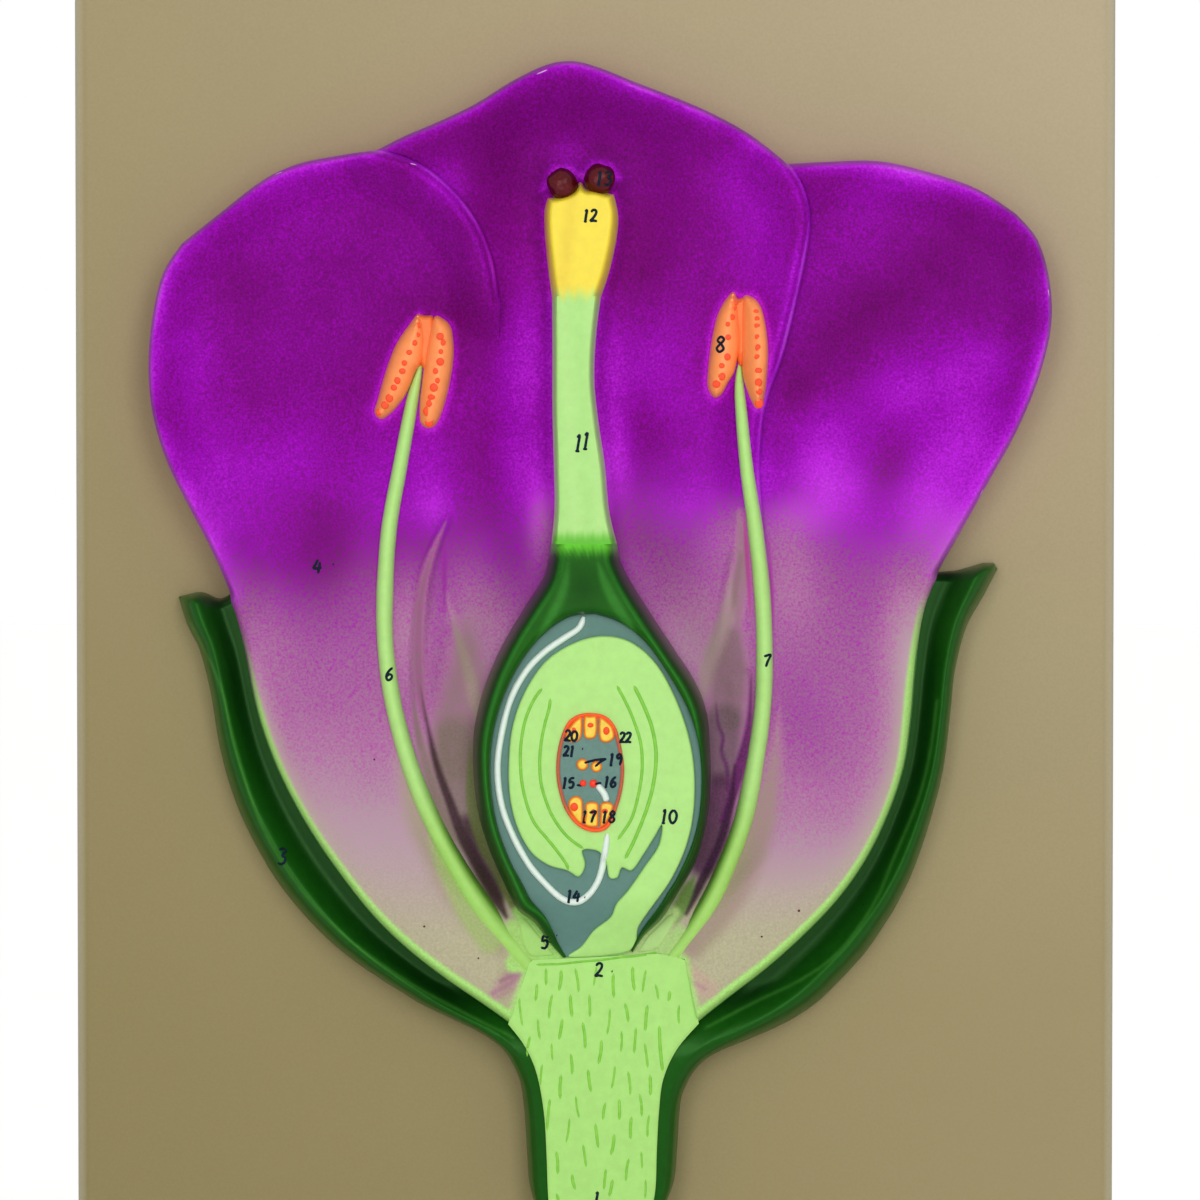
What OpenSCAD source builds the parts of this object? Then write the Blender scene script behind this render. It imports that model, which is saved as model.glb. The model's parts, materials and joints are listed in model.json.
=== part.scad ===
// Botanical flower model: a flower cut open along its length, in low relief on a wall board.
// The board stands upright in X and Z, and the relief grows out of its front face towards -Y.
// The origin is the middle of the board's bottom edge.

/* [Board] */
// Width of the board
board_w = 300; // [280:1:360]
// Height of the board
board_h = 400; // [385:1:480]
// Thickness of the board
board_t = 12; // [10:0.5:20]
// Radius of the board's rounded front edges
board_round = 4; // [1:0.5:5]
// Height of the stem's cut end above the board's bottom edge
stem_end_z = 36; // [20:1:50]

/* [Petals] */
// Level of the petals between their hollows, above the board's face
petal_level = 21; // [18:0.5:26]
// Depth of the hollow in each side petal
side_hollow = 8; // [3:0.5:10]
// Depth of the hollow in the middle petal
middle_hollow = 6; // [2:0.5:8]
// Rise of a petal's free rim over its surface
free_rim_rise = 2.5; // [0.5:0.1:4]
// Rise of the cut rim beside a sepal
cut_rim_rise = 1.2; // [0.3:0.1:3]
// Rise of a rim that lies over the next petal
over_rim_rise = 6; // [3:0.5:8]
// Width of the rounded side of a rim
rim_round = 2.7; // [1.5:0.1:4]
// Width over which a rim falls to the petal's surface
rim_fall = 13; // [8:1:18]
// Level of a petal's free edge above the board's face
free_edge = 3; // [1:0.5:6]
// Level of a petal's cut edge beside a sepal
cut_edge = 13; // [10:0.5:16]

/* [Sepals and stem] */
// Level of a sepal's crest
sepal_crest = 16; // [13:0.5:19]
// Level of the channel between a sepal's crest and the petal
sepal_channel = 9; // [6:0.5:11]
// Level of a sepal's outer edge
sepal_edge = 3; // [1:0.5:6]
// Level of the stem's cut face
stem_level = 20; // [17:0.5:23]
// Drop from the stem's cut face to the crest of its rind
rind_drop = 1.5; // [0.5:0.1:3]
// Rounding of the stem's and sepals' blunt ends
end_round = 3; // [1:0.5:5]

/* [Stamens] */
// Rise of a filament over the petal
filament_rise = 3.2; // [2:0.1:5]
// Rise of an anther over the petal
anther_rise = 6; // [4:0.5:9]
// Height of the upright sides of filaments and anthers
bead_side = 0.8; // [0.4:0.1:1.5]

/* [Pistil] */
// Level of the floor that the pistil and the nectaries stand on
pistil_floor = 11; // [8:0.5:13]
// Flat width of that floor outside the pistil
floor_margin = 2.5; // [2:0.5:4]
// Width over which the floor rises to the petal's surface
floor_slope = 24; // [18:1:30]
// The same width beside the ovary's foot
foot_slope = 12; // [10:0.5:20]
// Level of the ovary wall's crest
ovary_level = 30; // [27:0.5:34]
// Width of the rounded outer side of the ovary wall
ovary_round = 4.2; // [2.5:0.1:5]
// Level of the face of the ovary's chamber
chamber_level = 26; // [22:0.5:26.5]
// Rise of the ovule over the chamber's face
ovule_rise = 2; // [1:0.1:3]
// Level of the cut face of the style and the stigma
style_level = 27; // [24:0.5:30]
// Width of the rounded sides of the style
style_round = 2.6; // [1.5:0.1:3.5]
// Width of the rounded sides of the stigma
stigma_round = 3.2; // [2:0.1:4]
// Height of the upright sides of the pistil's pieces
pistil_side = 2; // [1:0.5:4]
// Diameter of each pollen grain
grain_d = 8.7; // [7:0.1:9.5]
// Level of the pollen grains' middles
grain_level = 23.5; // [21:0.5:25]

/* [Embryo sac] */
// Rise of the sac's plate over the ovule
sac_rise = 0.8; // [0.4:0.1:1.5]
// Width of the sac's raised rim
sac_rim_w = 1; // [0.6:0.1:1.4]
// Rise of the sac's rim over its plate
sac_rim_rise = 0.5; // [0.3:0.1:1]
// Rise of the cells over the sac's plate
cell_rise = 0.9; // [0.5:0.1:1.5]
// Width of each polar nucleus
polar_d = 3.4; // [2.6:0.1:3.6]
// Width of each male gamete
gamete_d = 2.2; // [1.5:0.1:2.6]
// Width of the pollen tube
tube_w = 1.5; // [1:0.1:2]
// Rise of the pollen tube over what it lies on
tube_rise = 1.1; // [0.6:0.1:1.6]

/* [Screws from behind] */
// Shank diameter of a relief screw
relief_screw_d = 4; // [3:0.1:5]
// Head diameter of a relief screw
relief_head_d = 8; // [7:0.1:10]
// Length of the screw thread in a casting
relief_grip = 8; // [5:0.5:9]
// Depth of a screw's head below the board's back face
head_depth = 0.4; // [0.2:0.1:1]

/* [Hangers] */
// Distance from the board's side to the middle of a hanger
hanger_inset = 34; // [24:1:60]
// Distance from the board's top to the bar of a hanging ring
hanger_drop = 70; // [40:1:120]
// Width of a hanger's strap
strap_w = 14; // [10:1:18]
// Length of a hanger's strap below the bar
strap_l = 34; // [30:1:44]
// Thickness of a hanger's strap
strap_t = 1.2; // [0.8:0.1:2]
// Wire diameter of a hanging ring
ring_wire = 2.5; // [2:0.1:3.5]
// Inside width of a hanging ring
ring_inside = 30; // [28:1:40]
// Distance from the bar to the upper strap screw
strap_screw_drop = 6.6; // [6.2:0.1:8]
// Distance between the two screws of a strap
strap_screw_step = 20; // [16:1:22]
// Shank diameter of a strap screw
strap_screw_d = 3; // [2.5:0.1:3.5]
// Head diameter of a strap screw
strap_head_d = 5.8; // [5:0.1:6]
// Head height of a strap screw
strap_head_h = 1.7; // [1:0.1:2]
// Length of a strap screw's thread in the board
strap_grip = 7; // [5:0.5:8]

/* [Fits] */
// Gap between neighbouring castings
seam = 0.3; // [0.2:0.05:0.5]
// Glue line under a piece that is bonded on
glue = 0.15; // [0.1:0.05:0.3]
// Glue line under the filaments and anthers, which lie on a curved petal
stamen_gap = 0.3; // [0.2:0.05:0.5]
// Radial clearance of a screw in its hole
screw_gap = 0.05; // [0.02:0.01:0.2]
// Radial play of a ring's bar in its strap
ring_play = 0.25; // [0.15:0.05:0.4]

/* [Hidden] */
$fn = 48;

// The outlines below are drawn with the stem's end at this height.
drawn_end_z = 36;
flower_lift = stem_end_z - drawn_end_z;
front_y = -board_t / 2;
back_y = board_t / 2;
// Overlap that keeps cutters clear of the faces they cut
bite = 1;

// Edge between the left sepal and the petal and stem, from the stem's end up
left_border = [[-13, 36], [-13.5, 45], [-13.9, 56], [-14.6, 67], [-16.6, 78], [-20, 86],
               [-24.8, 92.4], [-33, 98.2], [-43, 105], [-54, 113.6], [-64, 123.4],
               [-73.6, 135.6], [-82, 148], [-89.4, 161.6], [-94.6, 174.4], [-97.8, 186],
               [-100, 198], [-102.2, 207], [-104.8, 215]];
// Outer edge of the left sepal and the stem's rind
left_outer = [[-16, 36], [-18.4, 44], [-19.2, 54], [-20, 66], [-21.6, 76], [-25, 83.4],
              [-31, 88.8], [-41, 93.8], [-53, 99.4], [-66, 108.2], [-78, 119], [-88, 130.8],
              [-96, 143.8], [-102, 156.6], [-106.4, 171], [-109.4, 187], [-112.6, 198.6],
              [-116.4, 206.6], [-118.6, 214]];
// Edge between the right sepal and the petal and stem
right_border = [[15.5, 36], [17.2, 45], [17.6, 56], [18.2, 67], [19.4, 76.4], [23.2, 85],
                [29.6, 92.6], [38.4, 99.6], [48.6, 107.4], [59, 116.6], [69.2, 127.2],
                [77.6, 139], [84.2, 152.6], [88.6, 166], [90.6, 180], [91.6, 192],
                [93, 205], [95.2, 214], [98.4, 221]];
// Outer edge of the right sepal and the stem's rind
right_outer = [[18.6, 36], [22.4, 45], [23.5, 56], [24.4, 68], [27.2, 76.6], [32.6, 82.6],
               [42, 87.4], [53.4, 93], [64.4, 100.4], [74, 110.4], [82.6, 124], [90.2, 138],
               [95.6, 152.4], [99.4, 166], [101.2, 180], [102.6, 193], [105.8, 205.4],
               [110.8, 214.6], [114.6, 222]];
// Upper edge of the right sepal's tip, between its two corners
right_tip = [[103, 221.4], [107, 222.5], [110.6, 223.6], [113.6, 223.6]];
// Free edge of the left petal, from the sepal's tip to the corner at the upper left
left_free = [[-104.8, 215], [-108.8, 227], [-115, 239], [-121.4, 252], [-125.6, 266],
             [-126.7, 280], [-125.4, 294], [-122.4, 306], [-117, 314.4]];
// Top edge of the left petal, then its rim over the middle petal
left_top = [[-117, 314.4], [-106, 323.2], [-94, 332.4], [-84, 337], [-72, 339.4], [-62, 340.7]];
left_over = [[-62, 340.7], [-54, 339.8], [-46, 335.4], [-38.4, 328.4], [-32.6, 320],
             [-29, 310.6], [-27.2, 300]];
// Seam between the left petal and the middle petal, from the receptacle up
left_seam = [[-18.4, 110.8], [-22.6, 119], [-30, 134], [-38, 151], [-44.2, 168], [-48, 186],
             [-48.6, 204], [-46.4, 222], [-42, 240], [-36, 258], [-30.6, 276], [-27.6, 289],
             [-27.2, 300]];
// Free top edge of the middle petal
middle_top = [[-62, 340.7], [-54, 344.8], [-44, 349], [-34, 353.8], [-24, 360], [-14, 364.8],
              [-6, 365.9], [2, 363.8], [12, 359.8], [24, 355.2], [34, 350.8], [44, 345.2],
              [54.4, 337]];
// Corner of the receptacle beside the right filament
receptacle_corner = [18.8, 112.6];
// Rim of the middle petal over the right petal, from the receptacle up
right_seam = [[25.6, 111], [33, 119.6], [39.6, 131], [44.6, 144], [48, 158],
              [50, 172], [51.2, 188], [51.2, 204], [50, 222], [48, 238], [47.2, 252],
              [48.6, 268], [53.4, 282], [57, 296], [60, 310], [61.6, 322], [59.4, 331.6],
              [54.4, 337]];
// Free edge of the right petal, from the middle petal's rim to the right sepal's tip
right_top = [[54.4, 337], [66, 337.6], [80, 337.8], [94, 334.8], [108, 330], [119, 323]];
right_free = [[98.4, 221], [104, 232.6], [112, 247], [120, 261.6], [126, 276.4],
              [129.4, 291], [128.8, 304], [125.4, 315.4], [119, 323]];

// Middle line and half width of the pistil's place, by height
pistil_mid = [[110, 0], [124, -0.2], [140, 0.3], [160, -0.7], [175, -1.2], [185, -1],
              [200, -1.8], [215, -2.5], [231, -3.2], [260, -5], [300, -5.1], [325, -4]];
pistil_half = [[110, 20], [124, 23.4], [140, 29.6], [160, 33.8], [175, 34], [185, 32],
               [200, 24], [215, 15.2], [231, 9.6], [260, 7.4], [300, 7.4], [310, 9.2], [325, 10.8]];
pistil_top_z = 338;
pistil_foot_z = 111.4;
// Middles and half sizes of the petals' hollows
left_hollow_at = [-78, 258];
right_hollow_at = [84, 254];
side_hollow_size = [44, 92];
middle_hollow_at = [12, 300];
middle_hollow_size = [46, 60];
// Heights between which a rim that lies over the next petal fades out
left_over_fade = [272, 300];
right_over_fade = [208, 262];
// Heights between which the rind turns into the sepal
rind_fade = [82, 104];
// Heights between which a filament's foot rises to the stem's cut face
foot_fade = [114, 140];
// Heights between which the ovary's crest comes down to the style
shoulder_fade = [210, 229];
// Heights between which the floor's slope grows to its full width
slope_fade = [114, 150];

// Outer side of the ovary wall: left leg, top and right leg, then the chamber's edge
ovary_left = [[-9.6, 111.4], [-13.6, 116], [-17.6, 121.4], [-22.6, 125.4], [-26.4, 133],
              [-30.4, 142], [-33.4, 152], [-34.8, 163], [-34.9, 174], [-33, 184],
              [-29.6, 194], [-24.6, 204], [-19, 213], [-14.4, 220.6], [-12.5, 229.6]];
ovary_right = [[10.9, 112.6], [14.2, 117.6], [19.4, 122.6], [24, 130], [28.4, 137.6],
               [31.4, 147], [33, 158], [33, 170], [32, 181], [28.6, 190], [22.2, 200],
               [16, 209.4], [10, 219], [7.2, 225], [6.2, 229.6]];
chamber_left = [[-8.2, 111.8], [-11.6, 117], [-15.4, 122.6], [-20.2, 130], [-24.8, 139.6],
                [-28, 150], [-29.5, 161], [-29.4, 172], [-27, 183], [-22.2, 194], [-15.6, 203],
                [-7.6, 208.8], [0, 209.8]];
chamber_right = [[10.2, 113.8], [14.2, 120], [19.8, 126.4], [24.6, 135], [28.2, 146],
                 [30, 157], [29.8, 170], [27, 181], [21.8, 191], [14.6, 201.4], [7.4, 207.2],
                 [0, 209.8]];

// Ovule with its stalk, round the outside from the stalk's left foot
ovule_edge = [[-7, 112.6], [-3.8, 115], [-0.4, 119.6], [4.4, 123.6], [6, 127.4], [9.4, 131.4],
              [14, 138], [18, 144], [19, 150], [16.8, 146.4], [13.4, 141], [10.4, 137],
              [7.6, 137.8], [6.4, 135], [4, 135], [3.2, 139], [1.4, 142], [-0.8, 142.9],
              [-3.6, 142.6], [-2.8, 138.6], [-4.6, 135.2], [-8, 137], [-13, 138.4],
              [-18, 142], [-22, 149], [-24.2, 158], [-24.5, 168], [-23.4, 178], [-20, 187.6],
              [-14, 196.4], [-6, 201.6], [2, 203.6], [10, 202], [17, 196.2], [22.4, 187],
              [26.4, 176], [28.2, 165], [27.9, 153], [25.6, 143], [21.4, 134], [15.8, 126],
              [12.4, 120.6], [9.8, 114.4]];
// Outline of the embryo sac
sac_edge = [[-1.4, 181.8], [2.8, 181], [5.6, 178.2], [7, 174], [8.2, 167], [7.8, 160.6],
            [6.2, 154.6], [3.8, 149.4], [0, 148], [-4.6, 149.6], [-8.4, 154.2], [-10.4, 160.4],
            [-11, 166.4], [-10.2, 173], [-8, 178.8], [-5, 181.2]];
// Cells at the top of the sac
antipodal_edges = [[[-8.4, 174.6], [-6.6, 173.4], [-4, 174.8], [-3.7, 180.4], [-5.6, 179.8], [-7.8, 177]],
                   [[-3.1, 175.4], [-1.4, 174.4], [0.4, 175.6], [0.5, 180.6], [-1.4, 181], [-3.1, 180.6]],
                   [[1.2, 174.8], [3.2, 173.4], [5.4, 174.8], [5, 177.8], [2.6, 180.2], [1.2, 180.4]]];
// Cells at the bottom of the sac
egg_edges = [[[-5.2, 151.2], [-3.6, 150.6], [-3.4, 154.6], [-3.7, 157.4], [-5.6, 158.3], [-7.4, 157],
              [-7.3, 154.4]],
             [[-2.9, 150], [0.6, 149.6], [1, 153], [0.9, 156], [-0.8, 156.7], [-2.7, 156], [-2.8, 153]],
             [[1.4, 149.6], [3, 150.4], [4.5, 153], [5.2, 155.6], [3.6, 156.6], [1.6, 156], [1.5, 153]]];
polar_at = [[-3.6, 167.2], [0.4, 166.6]];
gamete_at = [[-3.4, 161.9], [-0.6, 161.7]];

// Pollen tube: over the chamber's face, over the ovule's edge, and inside the sac
tube_chamber = [[-3.2, 209], [-4.6, 205.8], [-9, 202.8], [-14.4, 199], [-19.4, 193.8],
                [-23.6, 186.4], [-26.2, 177.4], [-27.7, 167], [-26.8, 156.6], [-23.8, 147.8],
                [-19.2, 139.2], [-14.6, 133.6], [-9.6, 129], [-5.4, 127.9], [-2, 129.8],
                [0.6, 133.4], [2, 137.4], [1.8, 140.6]];
tube_ovule = [[3.3, 144], [3.5, 145.8], [3.4, 147.4]];
tube_sac = [[3.3, 157.4], [2.4, 159.2], [1.1, 160.7]];

// Nectaries on either side of the ovary's foot
left_nectary_edge = [[-18.6, 111.6], [-11.4, 112], [-15.2, 116.8], [-19.6, 122.2], [-21.2, 123.4],
                     [-21.6, 120.6], [-20.6, 115.6]];
right_nectary_edge = [[11.9, 112.8], [17.8, 113.6], [20.4, 117.6], [22.6, 121.4], [22.4, 124.4],
                      [20, 122.6], [15, 117.6]];

// Style and stigma
style_left = [[-11.6, 240], [-11.8, 252], [-12.2, 268], [-12.2, 284], [-12.3, 299.8]];
style_right = [[4, 239], [2.8, 252], [1, 264], [-0.2, 276], [0.2, 288], [1.6, 299.8]];
stigma_left = [[-13.4, 308], [-14.3, 317], [-14.5, 324], [-13.6, 328]];
stigma_top = [[-13.6, 328], [-10, 328.6], [-5, 330.2], [0, 330.4], [5.4, 329]];
stigma_right = [[4, 307], [6, 316], [6.6, 323], [5.4, 329]];
grain_at = [[-9.3, 331.7], [1.3, 333]];

// Stamens: middle lines with half widths as the third value
left_filament_line = [[-50.2, 278.4, 0.7], [-52, 270, 1.5], [-55.6, 252, 1.8], [-58.8, 234, 2.1],
                      [-60, 216, 2.3], [-59.8, 200, 2.3], [-57.2, 182, 2.3], [-51.8, 163, 2.5],
                      [-45, 147, 2.6], [-37, 132.4, 3], [-29, 120.6, 3.8], [-23.6, 114.6, 3.6]];
right_filament_line = [[40.9, 278.6, 0.6], [41.2, 270, 1.3], [43, 252, 1.6], [45.6, 234, 1.9],
                       [47.6, 216, 2.2], [48.3, 200, 2.3], [48, 184, 2.2], [46, 168, 2.5],
                       [42.4, 150, 2.8], [36, 133, 2.8], [29, 120.4, 2.9], [24.4, 114.4, 2.8]];
left_anther_lobes = [[[-50, 294, 1.2], [-51.4, 290, 3.5], [-54, 283, 4], [-56.6, 276, 3.6],
                      [-58.8, 270, 3.1], [-61.2, 266, 1.2]],
                     [[-44.4, 294, 1.2], [-44.8, 290.6, 3.4], [-44.4, 285, 4.1], [-45, 278, 4.1],
                      [-46.2, 271, 3.7], [-47, 266, 2.6], [-47.6, 263, 1]]];
right_anther_lobes = [[[40, 299.6, 1.4], [38.8, 295, 3.6], [37.8, 288, 4.4], [36.8, 281, 4.1],
                       [35.2, 275.6, 2.9], [34, 271.8, 1.1]],
                      [[44, 299.4, 1.4], [45, 294, 3.5], [45.5, 287, 3.9], [45.5, 280, 3.6],
                       [45.9, 273.6, 2.7], [46.1, 268.6, 1]]];

// Places of the relief screws in each casting
stem_screws = [[1, 60], [1, 98]];
left_sepal_screws = [[-104, 184], [-67, 115]];
right_sepal_screws = [[97.4, 180], [68, 111.5]];
left_petal_screws = [[-92, 290], [-58, 322], [-84, 190]];
middle_petal_screws = [[-8, 350], [-24, 322], [34, 322]];
right_petal_screws = [[94, 300], [78, 326], [78, 186]];
relief_screw_at = concat(stem_screws, left_sepal_screws, right_sepal_screws,
                         left_petal_screws, middle_petal_screws, right_petal_screws);

// Share of the height and of the dip across a sepal, from its outer edge
sepal_rise = [[0, 0], [0.07, 0.5], [0.18, 0.84], [0.34, 1]];
sepal_dip = [[0.34, 0], [0.48, 0.4], [0.64, 0.86], [0.8, 1]];
// Share of the height across the stem's rind, from its outer edge
rind_rise = [[0, 0], [0.08, 0.5], [0.25, 0.8], [0.55, 0.95], [1, 1]];
sepal_columns = [0, 0.07, 0.18, 0.34, 0.48, 0.64, 0.8, 1];
// Shares across a bead and the thin pollen tube, from -1 to 1, and across the ovary wall
bead_columns = [-1, -0.85, -0.5, 0, 0.5, 0.85, 1];
tube_columns = [-1, -0.7, 0, 0.7, 1];
wall_columns = [0, 0.08, 0.2, 0.36, 0.6, 1];
// Points of a border where the stem ends and the petals start
stem_top = 6;
// Path far from every petal, for a petal without that kind of edge
no_edge = [[0, -board_h], [1, -board_h]];
// Half width at which an anther's lobe has its full rise
lobe_full = 4;

rind_level = stem_level - rind_drop;
ovule_level = chamber_level + ovule_rise;
sac_level = ovule_level + sac_rise;
hanger_x = [hanger_inset - board_w / 2, board_w / 2 - hanger_inset];
bar_z = board_h - hanger_drop;
curl_r = ring_wire / 2 + ring_play + strap_t;
bar_y = back_y + curl_r;
strap_screw_z = [bar_z - strap_screw_drop, bar_z - strap_screw_drop - strap_screw_step];
// Radius of the wire's middle round a ring, and in its two upper corners
ring_r = (ring_inside + ring_wire) / 2;
corner_r = 3.5;
// Cross recess of every screw
recess_l = 4;
recess_w = 0.8;
recess_depth = 1;

// Part of the way from a to b
function mix(a, b, t) = a + (b - a) * t;
// Soft step from 0 to 1
function ease(t) = let (c = max(0, min(1, t))) c * c * (3 - 2 * c);
function fade(z, span) = ease((z - span[0]) / (span[1] - span[0]));
// Quarter round: 0 at an edge, 1 at the distance r from it
function quarter(d, r) = let (t = max(0, 1 - d / r)) sqrt(1 - t * t);

// Smooth curve through the points p, with n steps between two points
function near(p, i) = p[max(0, min(len(p) - 1, i))];
function curve(a, b, c, d, t) =
    0.5 * (2 * b + (c - a) * t + (2 * a - 5 * b + 4 * c - d) * t * t + (3 * b - a - 3 * c + d) * t * t * t);
function smooth(p, n = 4) =
    concat([for (i = [0:len(p) - 2]) for (k = [0:n - 1])
                curve(near(p, i - 1), p[i], p[i + 1], near(p, i + 2), k / n)],
           [p[len(p) - 1]]);
function smooth_loop(p, n = 4) =
    let (c = len(p))
    [for (i = [0:c - 1]) for (k = [0:n - 1])
        curve(p[(i + c - 1) % c], p[i], p[(i + 1) % c], p[(i + 2) % c], k / n)];
function backwards(p) = [for (i = [len(p) - 1:-1:0]) p[i]];
// Points of p from the index a to the index b
function part(p, a, b) = [for (i = [a:b]) p[i]];

// Length of p up to each of its points
function lengths(p) =
    [for (i = 0, s = 0; i < len(p); i = i + 1, s = i < len(p) ? s + norm(p[i] - p[i - 1]) : s) s];
// Points of p at the shares f of its length
function along(p, f) =
    let (s = lengths(p), whole = s[len(s) - 1],
         axes = [for (a = [0:len(p[0]) - 1]) [for (i = [0:len(p) - 1]) [s[i], p[i][a]]]])
    [for (t = f) [for (a = axes) lookup(t * whole, a)]];
// Shares from 0 to 1 that lie closer at both ends, closer at the right end, and even ones
function tight(n) = [for (k = [0:n]) (1 - cos(180 * k / n)) / 2];
function closer(n) = [for (k = [0:n]) sin(90 * k / n)];
function even(n) = [for (k = [0:n]) k / n];

// The path p moved to its right by d
function aside(p, d) =
    [for (i = [0:len(p) - 1])
        let (t = near(p, i + 1) - near(p, i - 1), l = norm([t[0], t[1]]))
        [p[i][0] + d * t[1] / l, p[i][1] - d * t[0] / l]];
// Distance from the point q to the path p
function reach(q, p) =
    min([for (i = [1:len(p) - 1])
        let (a = p[i - 1], b = p[i] - a, t = max(0, min(1, ((q - a) * b) / (b * b)))) norm(q - a - t * b)]);
// Rows of points between four edges: left and right run up, foot and head run to the right
function sheet(left, right, foot, head, across, up) =
    let (l = along(left, up), r = along(right, up), f = along(foot, across), h = along(head, across),
         m = len(across) - 1, n = len(up) - 1)
    [for (j = [0:n]) [for (i = [0:m])
        let (u = across[i], v = up[j])
        (1 - v) * f[i] + v * h[i] + (1 - u) * l[j] + u * r[j]
        - (1 - u) * (1 - v) * f[0] - u * (1 - v) * f[m] - (1 - u) * v * h[0] - u * v * h[m]]];

// Level of the petals' common surface at a point of the plan
function hollow(q, at, size) = exp(-pow((q[0] - at[0]) / size[0], 2) - pow((q[1] - at[1]) / size[1], 2));
function pistil_gap(q) =
    let (side = abs(q[0] - lookup(q[1], pistil_mid)) - lookup(q[1], pistil_half))
    q[1] > pistil_top_z ? norm([max(side, 0), q[1] - pistil_top_z]) : max(side, pistil_foot_z - q[1]);
function ground(q) =
    let (top = petal_level - side_hollow * hollow(q, left_hollow_at, side_hollow_size)
               - side_hollow * hollow(q, right_hollow_at, side_hollow_size)
               - middle_hollow * hollow(q, middle_hollow_at, middle_hollow_size))
    mix(pistil_floor, top,
        ease((pistil_gap(q) - floor_margin) / mix(foot_slope, floor_slope, fade(q[1], slope_fade))));
// Rim of a petal: up its rounded side, then down to the surface
function rim(d) = d < rim_round ? quarter(d, rim_round) : 1 - ease((d - rim_round) / rim_fall);

// Closed solid between rows of points [x, z, level] and the rows below them
module bead(rows, under) {
    n = len(rows);
    m = len(rows[0]);
    ring = concat([for (i = [0:m - 1]) i], [for (j = [1:n - 1]) j * m + m - 1],
                  [for (i = [m - 2:-1:0]) (n - 1) * m + i], [for (j = [n - 2:-1:1]) j * m]);
    c = len(ring);
    polyhedron([for (r = concat(rows, under)) for (p = r) [p[0], -p[2], p[1]]],
        concat(faces(n, m), [for (f = faces(n, m)) [f[0] + n * m, f[2] + n * m, f[1] + n * m]],
        [for (k = [0:c - 1]) [ring[k], ring[(k + 1) % c], n * m + ring[(k + 1) % c], n * m + ring[k]]]));
}
// Closed casting under such rows, with a flat back at the level low
module casting(rows, low) { bead(rows, [for (r = rows) [for (p = r) [p[0], p[1], low]]]); }
function faces(n, m) =
    [for (j = [0:n - 2]) for (i = [0:m - 2]) for (half = [0, 1])
        let (a = j * m + i) half == 0 ? [a, a + m, a + m + 1] : [a, a + m + 1, a + 1]];

// Places its children on the board's face, at the flower's height
module relief() { translate([0, front_y, flower_lift]) children(); }
// Turns a plan drawing to stand up from the level low
module plan(low) { translate([0, -low, 0]) rotate([90, 0, 0]) children(); }
// Plate with the outline edge between two levels
module plate(edge, low, high) { plan(low) linear_extrude(high - low) polygon(edge); }

// Board with rounded front edges and the holes for all screws
module backing_board() {
    color("#a89a72") difference() {
        intersection() {
            translate([0, 0, board_h / 2]) rotate([0, 90, 0])
                linear_extrude(board_w, center = true) board_profile(board_h);
            linear_extrude(board_h) board_profile(board_w);
        }
        for (q = relief_screw_at) relief_screw_place(q) relief_screw_shape(screw_gap);
        for (x = hanger_x) for (z = strap_screw_z) strap_screw_place(x, z)
            cylinder(d = strap_screw_d + 2 * screw_gap, h = strap_t + strap_grip + screw_gap);
    }
}
// Section across the board, with its front towards -Y
module board_profile(w) {
    for (side = [-1, 1])
        translate([side * (w / 2 - board_round), front_y + board_round]) circle(board_round);
    translate([board_round - w / 2, front_y]) square([w - 2 * board_round, board_t]);
    translate([-w / 2, front_y + board_round]) square([w, board_t - board_round]);
}

// Relief screws: driven from behind, through the board into the castings
module relief_screw_place(q) {
    translate([q[0], back_y, q[1] + flower_lift]) rotate([90, 0, 0]) children();
}
// Screw, or its hole where gap is over 0, from the board's back along its axis
module relief_screw_shape(gap) {
    cone = (relief_head_d - relief_screw_d) / 2;
    translate([0, 0, head_depth])
        cylinder(r1 = relief_head_d / 2 + gap, r2 = relief_screw_d / 2 + gap, h = cone);
    translate([0, 0, head_depth + cone])
        cylinder(r = relief_screw_d / 2 + gap, h = board_t - head_depth - cone + relief_grip + gap);
    if (gap > 0) translate([0, 0, -bite]) cylinder(r = relief_head_d / 2 + gap, h = head_depth + bite);
}
// Pilot holes in the back of a casting
module relief_pilots(places) {
    for (q = places) translate([q[0], bite, q[1]]) rotate([90, 0, 0])
        cylinder(r = relief_screw_d / 2 + screw_gap, h = relief_grip + screw_gap + bite);
}
module relief_screws() {
    color("silver") for (q = relief_screw_at) relief_screw_place(q) difference() {
        relief_screw_shape(0);
        translate([0, 0, head_depth]) recess();
    }
}
module recess() {
    for (a = [0, 90]) rotate([0, 0, a]) cube([recess_l, recess_w, 2 * recess_depth], center = true);
}

// Stem and receptacle: the light cut face between the two rinds
module stem_core() {
    left = lower(left_border);
    right = lower(right_border);
    head = [left[len(left) - 1], left_seam[0], receptacle_corner, right_seam[0], right[len(right) - 1]];
    rows = sheet(aside(left, seam / 2), aside(right, -seam / 2), [left[0], right[0]],
                 aside(head, seam / 2), tight(12), even(14));
    color("#a8dc6c") relief() difference() {
        casting([for (r = rows) [for (q = r) [q[0], q[1], stem_level]]], 0);
        relief_pilots(stem_screws);
    }
}
// Part of a border beside the stem, and beside the petal
function lower(border) = smooth(part(border, 0, stem_top));
function upper(border) = smooth(part(border, stem_top, len(border) - 1));

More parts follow.
